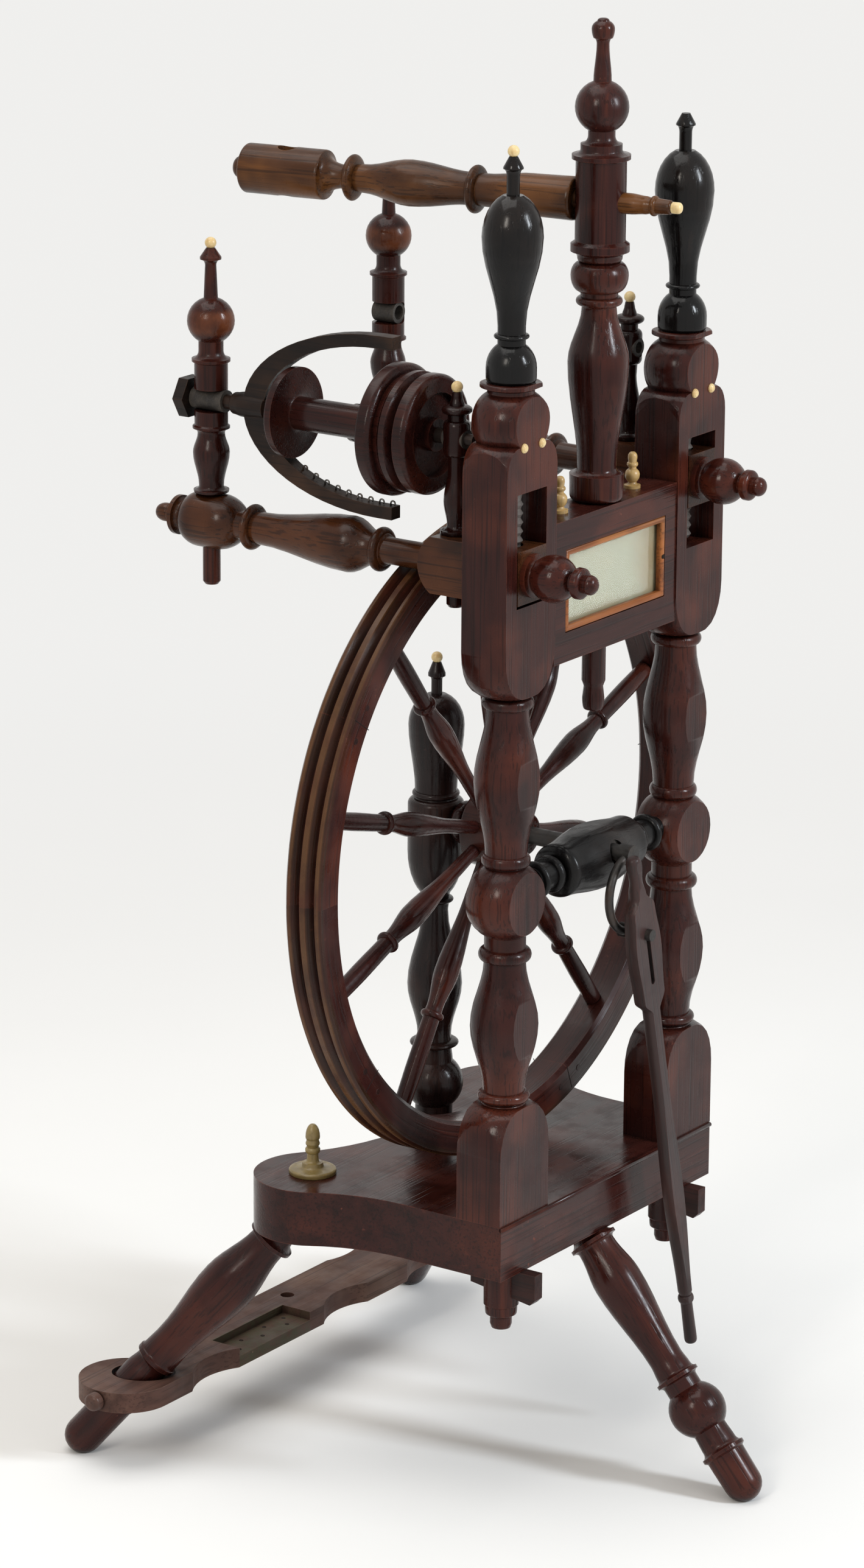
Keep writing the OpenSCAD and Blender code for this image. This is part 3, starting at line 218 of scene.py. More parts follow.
def detail():
    """The small pieces' sizes in use."""
    return bpy.context.scene.wheel_detail


def turn_to_grain(direction):
    """Euler turn that lays a grain direction along Z."""
    return Vector(direction).normalized().rotation_difference(Vector((0, 0, 1))).to_euler()


GRAIN = {
    "x": turn_to_grain((1, 0, 0)),
    "y": turn_to_grain((0, 1, 0)),
    "z": turn_to_grain((0, 0, 1)),
    "front_leg": turn_to_grain((0, -math.sin(FRONT_SPLAY), -math.cos(FRONT_SPLAY))),
    "distaff_arm": turn_to_grain((-math.sin(DISTAFF_TURN), math.cos(DISTAFF_TURN), 0)),
    "footman": turn_to_grain((math.sin(FOOTMAN_LEAN), 0, -math.cos(FOOTMAN_LEAN))),
}
for side, label in ((-1, "left_leg"), (1, "right_leg")):
    GRAIN[label] = turn_to_grain((
        side * math.sin(REAR_HEADING) * math.sin(REAR_SPLAY),
        math.cos(REAR_HEADING) * math.sin(REAR_SPLAY),
        -math.cos(REAR_SPLAY)))


class Tree:
    """Small helper to add and link shader nodes."""

    def __init__(self, tree):
        self.tree = tree

    def add(self, kind, inputs=None, **settings):
        node = self.tree.nodes.new(kind)
        for key, value in settings.items():
            setattr(node, key, value)
        for key, value in (inputs or {}).items():
            socket = node.inputs[key]
            if isinstance(value, bpy.types.NodeSocket):
                self.tree.links.new(value, socket)
            else:
                socket.default_value = value
        return node

    def math(self, operation, a, b=0.5, clamp=False):
        return self.add("ShaderNodeMath", {0: a, 1: b}, operation=operation, use_clamp=clamp).outputs[0]

    def link(self, value, node, key):
        self.tree.links.new(value, node.inputs[key])

    def mix(self, factor, a, b):
        return self.add("ShaderNodeMix", {0: factor, 6: a, 7: b}, data_type="RGBA").outputs[2]

    def ramp(self, factor, low, high, to_low=0.0, to_high=1.0):
        return self.add("ShaderNodeMapRange", {
            "Value": factor, "From Min": low, "From Max": high, "To Min": to_low, "To Max": to_high,
        }, interpolation_type="SMOOTHSTEP").outputs[0]

    def noise(self, vector, scale, depth=3.0, rough=0.55, twist=0.0):
        return self.add("ShaderNodeTexNoise", {
            "Vector": vector, "Scale": scale, "Detail": depth, "Roughness": rough, "Distortion": twist,
        }).outputs[0]

    def stretch(self, vector, scale):
        return self.add("ShaderNodeVectorMath", {0: vector, 1: scale}, operation="MULTIPLY").outputs[0]

    def length(self, vector):
        return self.add("ShaderNodeVectorMath", {0: vector}, operation="LENGTH").outputs["Value"]

    def split(self, vector):
        return self.add("ShaderNodeSeparateXYZ", {0: vector}).outputs

    def join(self, parts):
        return self.add("ShaderNodeCombineXYZ", parts).outputs[0]

    def bump(self, strength, distance, height):
        return self.add("ShaderNodeBump", {
            "Strength": strength, "Distance": distance, "Height": height}).outputs[0]

    def group(self, group, inputs):
        return self.add("ShaderNodeGroup", inputs, node_tree=group).outputs


def new_group(name, inputs, outputs):
    """An empty shader node group with named sockets."""
    group = bpy.data.node_groups.new(name, "ShaderNodeTree")
    for label, kind, default in inputs:
        socket = group.interface.new_socket(label, in_out="INPUT", socket_type=kind)
        if default is not None:
            socket.default_value = default
    for label, kind in outputs:
        group.interface.new_socket(label, in_out="OUTPUT", socket_type=kind)
    tree = Tree(group)
    return tree, tree.add("NodeGroupInput"), tree.add("NodeGroupOutput")


def grain_group():
    """Bands, pores and rubbed places of a polished wood whose grain runs along Z."""
    name = "Polished wood grain"
    if name in bpy.data.node_groups:
        return bpy.data.node_groups[name]
    colour = "NodeSocketColor"
    value = "NodeSocketFloat"
    tree, source, result = new_group(
        name,
        [("Vector", "NodeSocketVector", None), ("Dark", colour, None), ("Middle", colour, None),
         ("Light", colour, None), ("Rubbed", value, 0.5), ("Gloss", value, 0.34)],
        [("Color", colour), ("Roughness", value), ("Height", value)])
    vector = source.outputs["Vector"]
    along = tree.stretch(vector, (1.0, 1.0, 0.07))
    fibre = tree.stretch(vector, (1.0, 1.0, 0.018))
    band = tree.noise(along, 75.0, 4.0, 0.6, 0.8)
    pores = tree.noise(fibre, 620.0, 2.0, 0.5)
    patch = tree.noise(vector, 13.0, 3.0, 0.6)
    dark = tree.mix(tree.ramp(band, 0.30, 0.58, 0.3, 1.0), source.outputs["Dark"], source.outputs["Middle"])
    rubbed = tree.math("MULTIPLY", tree.ramp(patch, 0.46, 0.70), source.outputs["Rubbed"])
    warm = tree.mix(rubbed, dark, source.outputs["Light"])
    figure = tree.mix(tree.ramp(band, 0.60, 0.78, 0.0, 0.45), warm, source.outputs["Light"])
    pore_mask = tree.ramp(pores, 0.36, 0.46, 0.55, 0.0)
    colour_out = tree.mix(pore_mask, figure, source.outputs["Dark"])
    smear = tree.noise(vector, 46.0, 4.0, 0.65)
    rough = tree.math("ADD", source.outputs["Gloss"], tree.ramp(smear, 0.35, 0.7, -0.06, 0.14))
    height = tree.math("SUBTRACT", tree.math("MULTIPLY", band, 0.4), pore_mask)
    tree.link(colour_out, result, "Color")
    tree.link(rough, result, "Roughness")
    tree.link(height, result, "Height")
    return tree.tree


def scuff_group():
    """Small knocks and dull rubbed spots over any finish."""
    name = "Scuffs and dust"
    if name in bpy.data.node_groups:
        return bpy.data.node_groups[name]
    tree, source, result = new_group(
        name,
        [("Vector", "NodeSocketVector", None), ("Color", "NodeSocketColor", None),
         ("Scuff color", "NodeSocketColor", None), ("Amount", "NodeSocketFloat", 0.5)],
        [("Color", "NodeSocketColor"), ("Mask", "NodeSocketFloat")])
    vector = source.outputs["Vector"]
    knocks = tree.ramp(tree.noise(vector, 150.0, 5.0, 0.7), 0.64, 0.72)
    place = tree.ramp(tree.noise(vector, 19.0, 2.0, 0.5), 0.48, 0.66)
    mask = tree.math("MULTIPLY", tree.math("MULTIPLY", knocks, place), source.outputs["Amount"], True)
    up = tree.split(tree.add("ShaderNodeNewGeometry").outputs["Normal"])[2]
    film = tree.noise(vector, 34.0, 4.0, 0.6)
    dust = tree.math("MULTIPLY", tree.ramp(up, 0.55, 1.0, 0.0, 0.16), tree.ramp(film, 0.35, 0.75))
    whole = tree.math("ADD", mask, tree.math("MULTIPLY", dust, source.outputs["Amount"]), True)
    colour_out = tree.mix(whole, source.outputs["Color"], source.outputs["Scuff color"])
    tree.link(colour_out, result, "Color")
    tree.link(whole, result, "Mask")
    return tree.tree


def wear_and_shade_group():
    """Pale rubbed edges, and painted shade that darkens the hollows, found from the shape itself."""
    name = "Rubbed edges and dark hollows"
    if name in bpy.data.node_groups:
        return bpy.data.node_groups[name]
    tree, source, result = new_group(
        name,
        [("Vector", "NodeSocketVector", None), ("Color", "NodeSocketColor", None),
         ("Edge color", "NodeSocketColor", None), ("Painted shade color", "NodeSocketColor", None),
         ("Edges", "NodeSocketFloat", 0.5), ("Painted shade strength", "NodeSocketFloat", 0.7)],
        [("Color", "NodeSocketColor"), ("Edge mask", "NodeSocketFloat")])
    rounded = tree.add("ShaderNodeBevel", {"Radius": 0.0011}, samples=4).outputs[0]
    true = tree.add("ShaderNodeNewGeometry").outputs["Normal"]
    same = tree.add("ShaderNodeVectorMath", {0: rounded, 1: true}, operation="DOT_PRODUCT").outputs["Value"]
    patches = tree.ramp(tree.noise(source.outputs["Vector"], 55.0, 4.0, 0.7), 0.38, 0.66)
    edge = tree.math("MULTIPLY", tree.ramp(same, 0.965, 0.86), patches)
    edge = tree.math("MULTIPLY", edge, source.outputs["Edges"], True)
    # Painted shade: ambient occlusion turns the colour darker in grooves and hollows, where shade falls
    shade = tree.add("ShaderNodeAmbientOcclusion", {"Distance": 0.007}, samples=4).outputs["AO"]
    painted_shade_mask = tree.math("MULTIPLY", tree.ramp(shade, 0.80, 0.38), source.outputs["Painted shade strength"], True)
    colour = tree.mix(edge, source.outputs["Color"], source.outputs["Edge color"])
    colour = tree.mix(painted_shade_mask, colour, source.outputs["Painted shade color"])
    tree.link(colour, result, "Color")
    tree.link(edge, result, "Edge mask")
    return tree.tree


def new_material(name):
    """A material with its tree, its Object coordinates and its Principled shader."""
    material = bpy.data.materials.new(name)
    material.use_nodes = True
    tree = Tree(material.node_tree)
    shader = material.node_tree.nodes["Principled BSDF"]
    place = tree.add("ShaderNodeTexCoord").outputs["Object"]
    return material, tree, shader, place


def rgba(colour):
    """A colour with full alpha."""
    return (colour[0], colour[1], colour[2], 1.0)


def round_the_axle(tree, place, along_rim):
    """Coordinates whose Z runs out from the axle, or along the rim."""
    centred = tree.add("ShaderNodeMapping", {"Vector": place, "Location": tuple(-AXLE)}).outputs[0]
    across, deep, high = tree.split(centred)
    out = tree.length(tree.join({0: across, 2: high}))
    turn = tree.math("ARCTAN2", high, across)
    round_way = tree.math("MULTIPLY", turn, GRAIN_RADIUS)
    if along_rim:
        return tree.join({0: out, 1: deep, 2: round_way})
    return tree.join({0: round_way, 1: deep, 2: out})


def wood_material(name, tones, grain, rubbed=0.5, gloss=0.23, coat=0.08, scuffs=0.5, edges=0.5,
                  patch=None):
    """A polished, grained wood; grain is a key of GRAIN, or rim or spoke.

    patch takes the tree, the object and grain coordinates and the colour, and gives back another colour.
    """
    material, tree, shader, place = new_material(name)
    if grain in GRAIN:
        vector = tree.add("ShaderNodeMapping", {"Vector": place, "Rotation": GRAIN[grain]}).outputs[0]
    else:
        vector = round_the_axle(tree, place, grain == "rim")
    dark, middle, light = (rgba(tone) for tone in tones)
    wood = tree.group(grain_group(), {
        "Vector": vector, "Dark": dark, "Middle": middle, "Light": light, "Rubbed": rubbed, "Gloss": gloss})
    colour = wood["Color"]
    if patch:
        colour = patch(tree, place, vector, colour)
    # Real rubbed edges, and painted shade in the hollows, far darker than the wood's own dark tone
    wear_and_shade = tree.group(wear_and_shade_group(), {
        "Vector": place, "Color": colour, "Edges": edges,
        "Edge color": rgba([min(1.0, 1.5 * c + 0.010) for c in tones[2]]),
        "Painted shade color": rgba([0.35 * c for c in tones[0]])})
    scuff = tree.group(scuff_group(), {
        "Vector": place, "Color": wear_and_shade["Color"], "Amount": scuffs,
        "Scuff color": rgba([min(1.0, 1.5 * c + 0.012) for c in tones[2]])})
    dull = tree.math("ADD", scuff["Mask"], wear_and_shade["Edge mask"], True)
    rough = tree.math("ADD", wood["Roughness"], tree.math("MULTIPLY", dull, 0.3), True)
    tree.link(scuff["Color"], shader, "Base Color")
    tree.link(rough, shader, "Roughness")
    tree.link(tree.bump(0.22, 0.0006, wood["Height"]), shader, "Normal")
    shader.inputs["Coat Weight"].default_value = coat
    shader.inputs["Coat Roughness"].default_value = 0.12
    shader.inputs["Specular IOR Level"].default_value = 0.17
    return material


def gilded_ridges(tree, place, vector, colour):
    """Golden brown on the rim's rubbed ridges, olive in its grooves."""
    out = tree.split(vector)[0]
    patches = tree.ramp(tree.noise(place, 22.0, 4.0, 0.65), 0.32, 0.62, 0.25, 1.0)
    ridge = tree.math("MULTIPLY", tree.ramp(out, *RIDGE_RADII), patches)
    groove = tree.math("MULTIPLY", tree.ramp(out, *GROOVE_RADII), patches)
    olive = tree.mix(tree.math("MULTIPLY", groove, 0.6), colour, (0.034, 0.017, 0.008, 1))
    return tree.mix(tree.math("MULTIPLY", ridge, 0.7), olive, (0.115, 0.052, 0.019, 1))


def ruddy_ball(node):
    """A patch that warms a maiden's ball, its widest turning."""
    low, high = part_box(node)
    foot = (-(low.x + high.x) / 2, -(low.y + high.y) / 2, 0)
    widest = (high.x - low.x) / 2

    def warm(tree, place, vector, colour):
        centred = tree.add("ShaderNodeMapping", {"Vector": place, "Location": foot}).outputs[0]
        out = tree.length(tree.stretch(centred, (1.0, 1.0, 0.0)))
        worn = tree.ramp(tree.noise(place, 60.0, 3.0, 0.6), 0.3, 0.65, 0.3, 0.9)
        ball = tree.math("MULTIPLY", tree.ramp(out, 0.80 * widest, 0.97 * widest), worn)
        return tree.mix(ball, colour, (0.115, 0.034, 0.013, 1))

    return warm


def bare_thread(tree, place, vector, colour):
    """Bare grey wood on the screw's thread, below its handle."""
    high = tree.split(place)[2]
    return tree.mix(tree.ramp(high, *THREAD_TOP), colour, (0.125, 0.108, 0.098, 1))


def mossy_lap(tree, place, vector, colour):
    """Greenish stain on the treadle's lap."""
    across, deep, _high = tree.split(place)
    left = tree.ramp(across, *LAP_LEFT)
    right = tree.ramp(across, *LAP_RIGHT)
    near = tree.ramp(deep, *LAP_BACK)
    stain = tree.ramp(tree.noise(place, 95.0, 5.0, 0.7), 0.36, 0.62, 0.25, 1.0)
    inside = tree.math("MULTIPLY", tree.math("MULTIPLY", left, right), tree.math("MULTIPLY", near, stain))
    return tree.mix(inside, colour, (0.058, 0.052, 0.030, 1))


def bone_material(name, base, stain):
    """Polished bone with brown streaks and clouds."""
    material, tree, shader, place = new_material(name)
    streak = tree.noise(tree.stretch(place, (1.0, 1.0, 0.25)), 240.0, 3.0, 0.6)
    cloud = tree.noise(place, 70.0, 3.0, 0.6)
    colour = tree.mix(tree.ramp(cloud, 0.38, 0.72, 0.0, 0.8), rgba(base), rgba(stain))
    colour = tree.mix(tree.ramp(streak, 0.58, 0.70, 0.0, 0.45), colour, rgba(stain))
    tree.link(colour, shader, "Base Color")
    tree.link(tree.ramp(streak, 0.3, 0.7, 0.24, 0.42), shader, "Roughness")
    shader.inputs["Subsurface Weight"].default_value = 0.12
    shader.inputs["Subsurface Radius"].default_value = (0.004, 0.0025, 0.0012)
    return material


def iron_material(name, tone, rust, rough_low, rough_high):
    """Dark pitted iron with clouds of rust."""
    material, tree, shader, place = new_material(name)
    pits = tree.noise(place, 210.0, 5.0, 0.65)
    cloud = tree.noise(place, 60.0, 3.0, 0.6)
    mask = tree.ramp(cloud, 0.44, 0.68)
    tree.link(tree.mix(mask, rgba(tone), rgba(rust)), shader, "Base Color")
    tree.link(tree.ramp(mask, 0.0, 1.0, 0.95, 0.35), shader, "Metallic")
    tree.link(tree.ramp(pits, 0.3, 0.7, rough_low, rough_high), shader, "Roughness")
    tree.link(tree.bump(0.35, 0.0005, pits), shader, "Normal")
    return material


def leather_material(name):
    """Dark creased leather."""
    material, tree, shader, place = new_material(name)
    cells = tree.add("ShaderNodeTexVoronoi", {"Vector": place, "Scale": 900.0}).outputs["Distance"]
    cloud = tree.noise(place, 90.0, 4.0, 0.6)
    tone = tree.mix(tree.ramp(cloud, 0.35, 0.68), (0.012, 0.009, 0.007, 1), (0.042, 0.033, 0.025, 1))
    tree.link(tone, shader, "Base Color")
    tree.link(tree.ramp(cells, 0.0, 0.6, 0.50, 0.75), shader, "Roughness")
    tree.link(tree.bump(0.3, 0.0004, cells), shader, "Normal")
    return material


def label_material(name):
    """Bare aged label: foxing, brown stains at the right end and the edges, and faint waves."""
    material, tree, shader, place = new_material(name)
    tone = finish()
    fox = tree.noise(place, 120.0, 5.0, 0.65)
    cloud = tree.noise(place, 26.0, 4.0, 0.6)
    low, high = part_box("label_card")
    across, _deep, up = tree.split(place)
    end = tree.ramp(across, 0.25 * high.x, 0.95 * high.x, 0.0, 0.8)
    side = tree.ramp(tree.math("ABSOLUTE", across), 0.74 * high.x, high.x, 0.0, 0.9)
    tall = (high.z - low.z) / 2
    edge = tree.math("ABSOLUTE", tree.math("SUBTRACT", up, low.z + tall))
    rim = tree.math("MAXIMUM", side, tree.ramp(edge, 0.6 * tall, tall, 0.0, 0.9))
    stain = tree.math("MULTIPLY", tree.math("MAXIMUM", end, rim), tree.ramp(cloud, 0.28, 0.60))
    colour = tree.mix(tree.ramp(cloud, 0.40, 0.72, 0.0, 0.35), rgba(tone.parchment), (0.46, 0.42, 0.28, 1))
    colour = tree.mix(stain, colour, rgba(tone.parchment_stain))
    colour = tree.mix(tree.ramp(fox, 0.66, 0.76, 0.0, 0.55), colour, rgba(tone.parchment_stain))
    tree.link(colour, shader, "Base Color")
    tree.link(tree.ramp(fox, 0.3, 0.7, 0.62, 0.82), shader, "Roughness")
    tree.link(tree.bump(0.25, 0.0006, cloud), shader, "Normal")
    return material


def glass_material(name):
    """Thin clear glass with a faint film."""
    material, tree, shader, place = new_material(name)
    film = tree.noise(place, 38.0, 4.0, 0.6)
    shader.inputs["Base Color"].default_value = (0.96, 0.98, 0.96, 1)
    shader.inputs["Transmission Weight"].default_value = 1.0
    shader.inputs["IOR"].default_value = 1.2
    shader.inputs["Alpha"].default_value = 0.22
    tree.link(tree.ramp(film, 0.35, 0.75, 0.0, 0.06), shader, "Roughness")
    return material


def dress(material, *nodes):
    """Gives CAD nodes a finish and smooth shading with their true edges kept."""
    for name in nodes:
        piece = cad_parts[name]
        piece.data.materials.clear()
        piece.data.materials.append(material)
        piece.data.polygons.foreach_set("use_smooth", [True] * len(piece.data.polygons))
        piece.data.polygons.foreach_set("material_index", [0] * len(piece.data.polygons))
        weld = piece.modifiers.new("Joined faces", "WELD")
        weld.merge_threshold = WELD
        split = piece.modifiers.new("True edges", "EDGE_SPLIT")
        split.split_angle = math.radians(32)


def new_piece(name, bm, material, body, smooth=True):
    """Turns a finished bmesh into a piece that rides on a body."""
    bmesh.ops.recalc_face_normals(bm, faces=bm.faces)
    mesh = bpy.data.meshes.new(name)
    bm.to_mesh(mesh)
    bm.free()
    mesh.polygons.foreach_set("use_smooth", [smooth] * len(mesh.polygons))
    piece = bpy.data.objects.new(name, mesh)
    bpy.context.scene.collection.objects.link(piece)
    piece.data.materials.append(material)
    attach(piece, body)
    return piece


def scaled(tones, factor, lift=0.0):
    """The tones of a wood, darker or lighter."""
    return [[factor * c + lift for c in tone] for tone in tones]


def woods():
    """Dark, middle and light tone of the red, the brown and the black wood."""
    tone = finish()
    red = (tone.mahogany_dark, tone.mahogany_mid, tone.mahogany_light)
    brown = (tone.walnut_dark, tone.walnut_mid, tone.walnut_light)
    black = ([0.6 * c for c in tone.ebony], tone.ebony, tone.ebony_worn)
    return red, brown, black


def of_type(geometry, kind):
    """The points or faces among the geometry that a bmesh operator gives back."""
    return [item for item in geometry if isinstance(item, kind)]


def bevel_edges(bm, edges, offset, segments):
    """Rounds edges."""
    bmesh.ops.bevel(bm, geom=edges, offset=offset, affect="EDGES", segments=segments, profile=0.5,
                    material=-1)


class WHEEL_OT_polished_wood(bpy.types.Operator):
    """Polishes the red-brown frame, wheel and turnings"""

    bl_idname = "wheel.polished_wood"
    bl_label = "Polished wood"

    def execute(self, context):
        red, _brown, _black = woods()
        upright = wood_material("polished upright wood", red, "z")
        dress(upright, "post_left", "post_right", "distaff_post")
        ruddy = [[1.25 * tone[0], 1.15 * tone[1], tone[2]] for tone in red]
        for side in ("left", "right"):
            name = "rear_maiden_" + side
            wood = wood_material("maiden wood " + side, scaled(ruddy, 0.62), "z", 0.6, patch=ruddy_ball(name))
            dress(wood, name)
        dress(wood_material("dark maiden wood", scaled(red, 0.42), "z", 0.4),
              "front_maiden_left", "front_maiden_right")
        dress(wood_material("ruddy knob wood", ruddy, "y", 0.7, 0.22), "arm_knob_left", "arm_knob_right")
        dress(wood_material("polished cross wood", red, "x", 0.35, scuffs=0.8, edges=0.8),
              "board", "name_panel")
        dress(wood_material("polished whorl wood", scaled(red, 0.7), "y", 0.4, edges=0.7),
              "flyer_whorl", "bobbin", "wheel_hub")
        dress(wood_material("polished rim wood", red, "rim", 0.6, 0.30, patch=gilded_ridges),
              "felloe_1", "felloe_2", "felloe_3", "felloe_4", "felloe_5")
        dress(wood_material("polished spoke wood", red, "spoke", 0.4), "spokes")
        dress(wood_material("front leg wood", red, "front_leg", 0.35), "leg_front")
        dress(wood_material("left leg wood", red, "left_leg", 0.35), "leg_rear_left")
        dress(wood_material("right leg wood", red, "right_leg", 0.35), "leg_rear_right")
        dusty = scaled(red, 0.7, 0.019)
        dress(wood_material("footman wood", dusty, "footman", 0.3, 0.36, 0.05), "footman")
        dress(wood_material("key wood", scaled(red, 0.7, 0.006), "y", 0.2, 0.45, 0.0), "post_keys")
        return {"FINISHED"}


class WHEEL_OT_brown_wood(bpy.types.Operator):
    """Finishes the browner sliding arms and distaff arm"""

    bl_idname = "wheel.brown_wood"
    bl_label = "Brown wood"

    def execute(self, context):
        red, brown, _black = woods()
        between = [[0.35 * a + 0.35 * b for a, b in zip(r, w)] for r, w in zip(red, brown)]
        dress(wood_material("sliding arm wood", between, "y", 0.6), "arm_left", "arm_right")
        dress(wood_material("distaff arm wood", brown, "distaff_arm", 0.6, 0.30), "distaff_arm")
        return {"FINISHED"}


class WHEEL_OT_black_wood(bpy.types.Operator):
    """Finishes the black screws, rear post, stretcher and flyer"""

    bl_idname = "wheel.black_wood"
    bl_label = "Black wood"

    def execute(self, context):
        red, brown, black = woods()
        brownish = [[0.25 * a + b for a, b in zip(r, k)] for r, k in zip(red, black)]
        dress(wood_material("black upright wood", brownish, "z", 0.5, 0.24, 0.1, 0.3), "rear_post")
        dress(wood_material("black screw wood", black, "z", 0.35, 0.18, 0.1, 0.3, patch=bare_thread),
              "screw_left", "screw_right")
        dress(wood_material("black stretcher wood", black, "x", 0.6, 0.30, 0.1), "stretcher")
        dusky = [[0.16 * a + b for a, b in zip(w, k)] for w, k in zip(brown, black)]
        dress(wood_material("black flyer wood", dusky, "y", 0.8, 0.42, 0.0, edges=0.9), "flyer", "orifice")
        return {"FINISHED"}


class WHEEL_OT_bone_trim(bpy.types.Operator):
    """Finishes the bone beads, studs and finials"""

    bl_idname = "wheel.bone_trim"
    bl_label = "Bone trim"

    def execute(self, context):
        tone = finish()
        dress(bone_material("pale bone", tone.bone, tone.bone_stain), "rear_post_bead", "screw_bead",
              "screw_studs", "maiden_beads_left", "maiden_beads_right", "distaff_bead")
        yellow = [0.8 * a + 0.2 * b for a, b in zip(tone.bone_stain, tone.bone)]
        dress(bone_material("yellowed bone", yellow, [0.5 * c for c in tone.bone_stain]), "crest_finials")
        olive = (0.27, 0.195, 0.070)
        dress(bone_material("olive bone", olive, [0.5 * c for c in olive]), "board_finials")
        return {"FINISHED"}


class WHEEL_OT_label(bpy.types.Operator):
    """Finishes the label and its glass"""

    bl_idname = "wheel.label"
    bl_label = "Label and glass"

    def execute(self, context):
        dress(label_material("bare label"), "label_card")
        low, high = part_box("label_glass")
        middle = (low + high) / 2
        bm = bmesh.new()
        place = Matrix.Translation((middle.x, low.y + PANE_SET_BACK + PANE_THICK / 2, middle.z))
        shape = Matrix.Diagonal((high.x - low.x - PANE_ROOM, PANE_THICK, high.z - low.z - PANE_ROOM, 1))
        bmesh.ops.create_cube(bm, size=1.0, matrix=place @ shape)
        bevel_edges(bm, bm.edges[:], 0.3 * MM, 2)
        pane = new_piece("label_pane", bm, glass_material("label glass"), "stand", smooth=False)
        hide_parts("label_glass")
        return {"FINISHED"}


class WHEEL_OT_moulding(bpy.types.Operator):
    """Rounds the moulding that holds the label's glass"""

    bl_idname = "wheel.moulding"
    bl_label = "Label moulding"

    def execute(self, context):
        low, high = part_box("panel_moulding")
        wide, deep, tall = high - low
        width = detail().moulding_width
        bm = bmesh.new()
        middle = Matrix.Translation(((low.x + high.x) / 2, high.y, (low.z + high.z) / 2))
        upright = Matrix.Rotation(math.pi / 2, 4, "X") @ Matrix.Diagonal((wide / 2, tall / 2, 1, 1))
        bmesh.ops.create_grid(bm, x_segments=1, y_segments=1, size=1.0, matrix=middle @ upright)
        pane = bm.faces[:]
        rails = bmesh.ops.inset_region(
            bm, faces=pane, thickness=width, use_boundary=True, use_even_offset=True)["faces"]
        bmesh.ops.delete(bm, geom=pane, context="FACES_ONLY")
        front = bmesh.ops.extrude_face_region(bm, geom=rails)["geom"]
        bmesh.ops.translate(bm, verts=of_type(front, bmesh.types.BMVert), vec=(0, -deep - MOULDING_PROUD, 0))
        faces = of_type(front, bmesh.types.BMFace)
        rims = [e for e in bm.edges if sum(f in faces for f in e.link_faces) == 1]
        bevel_edges(bm, rims, 0.46 * width, 5)
        bmesh.ops.remove_doubles(bm, verts=bm.verts, dist=WELD)
        orange = ((0.085, 0.024, 0.007), (0.26, 0.082, 0.022), (0.42, 0.16, 0.045))
        wood = wood_material("moulding wood", orange, "x", 0.5, 0.34, 0.1)
        moulding = new_piece("rounded_moulding", bm, wood, "stand")
        split = moulding.modifiers.new("Mitres", "EDGE_SPLIT")
        split.split_angle = math.radians(40)
        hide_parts("panel_moulding")
        return {"FINISHED"}


class WHEEL_OT_iron(bpy.types.Operator):
    """Finishes the crank, and the bearings of the axle and flyer"""

    bl_idname = "wheel.iron"
    bl_label = "Iron and leather"

    def execute(self, context):
        dress(iron_material("forged iron", (0.055, 0.052, 0.050), (0.035, 0.022, 0.016), 0.34, 0.62),
              "crank_axle")
        dress(leather_material("bearing leather"), "axle_bushes", "flyer_bushes", "spare_bushes")
        return {"FINISHED"}


class WHEEL_OT_treadle(bpy.types.Operator):
    """Finishes the worn treadle bar and its pins"""

    bl_idname = "wheel.treadle"
    bl_label = "Treadle"

    def execute(self, context):
        worn = ((0.035, 0.017, 0.013), (0.082, 0.040, 0.030), (0.145, 0.085, 0.062))
        dress(wood_material("worn treadle wood", worn, "x", 0.8, 0.52, 0.0, 0.9, patch=mossy_lap),
              "treadle_bar")
        dress(wood_material("treadle pin wood", worn, "x", 0.4, 0.42, 0.1), "treadle_pins")
        return {"FINISHED"}


def add_nail(bm, place, radius):
    """A dished nail head whose face looks along the place's Z."""
    ring = bmesh.ops.create_cone(bm, cap_ends=True, segments=14, radius1=1.3 * radius, radius2=radius,
                                 depth=0.5 * MM, matrix=place)["verts"]
    bm.normal_update()
    out = place.to_3x3() @ Vector((0, 0, 1))
    face = [f for f in {f for v in ring for f in v.link_faces} if f.normal.dot(out) > 0.9]
    bmesh.ops.inset_region(bm, faces=face, thickness=0.3 * radius, depth=-0.2 * MM, use_boundary=True)


class WHEEL_OT_nail_holes(bpy.types.Operator):
    """Marks the old nail holes in the treadle's lap and the moulding's nail"""

    bl_idname = "wheel.nail_holes"
    bl_label = "Nail holes"

    def execute(self, context):
        radius = detail().nail_radius
        rust = iron_material("nail rust", (0.030, 0.022, 0.018), (0.018, 0.010, 0.007), 0.6, 0.8)
        lap_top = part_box("treadle_bar")[1].z - LAP_DEPTH
        bm = bmesh.new()
        for across, deep in LAP_NAILS:
            add_nail(bm, Matrix.Translation((across * MM, deep * MM, lap_top)), radius)
        new_piece("lap_nail_holes", bm, rust, "treadle", smooth=False)

        low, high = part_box("panel_moulding")
        stile = high.x - detail().moulding_width / 2
        bm = bmesh.new()
        place = Matrix.Translation((stile, low.y - MOULDING_PROUD, (low.z + high.z) / 2))
        add_nail(bm, place @ Matrix.Rotation(math.pi / 2, 4, "X"), radius)
        new_piece("moulding_nail", bm, rust, "stand", smooth=False)
        return {"FINISHED"}


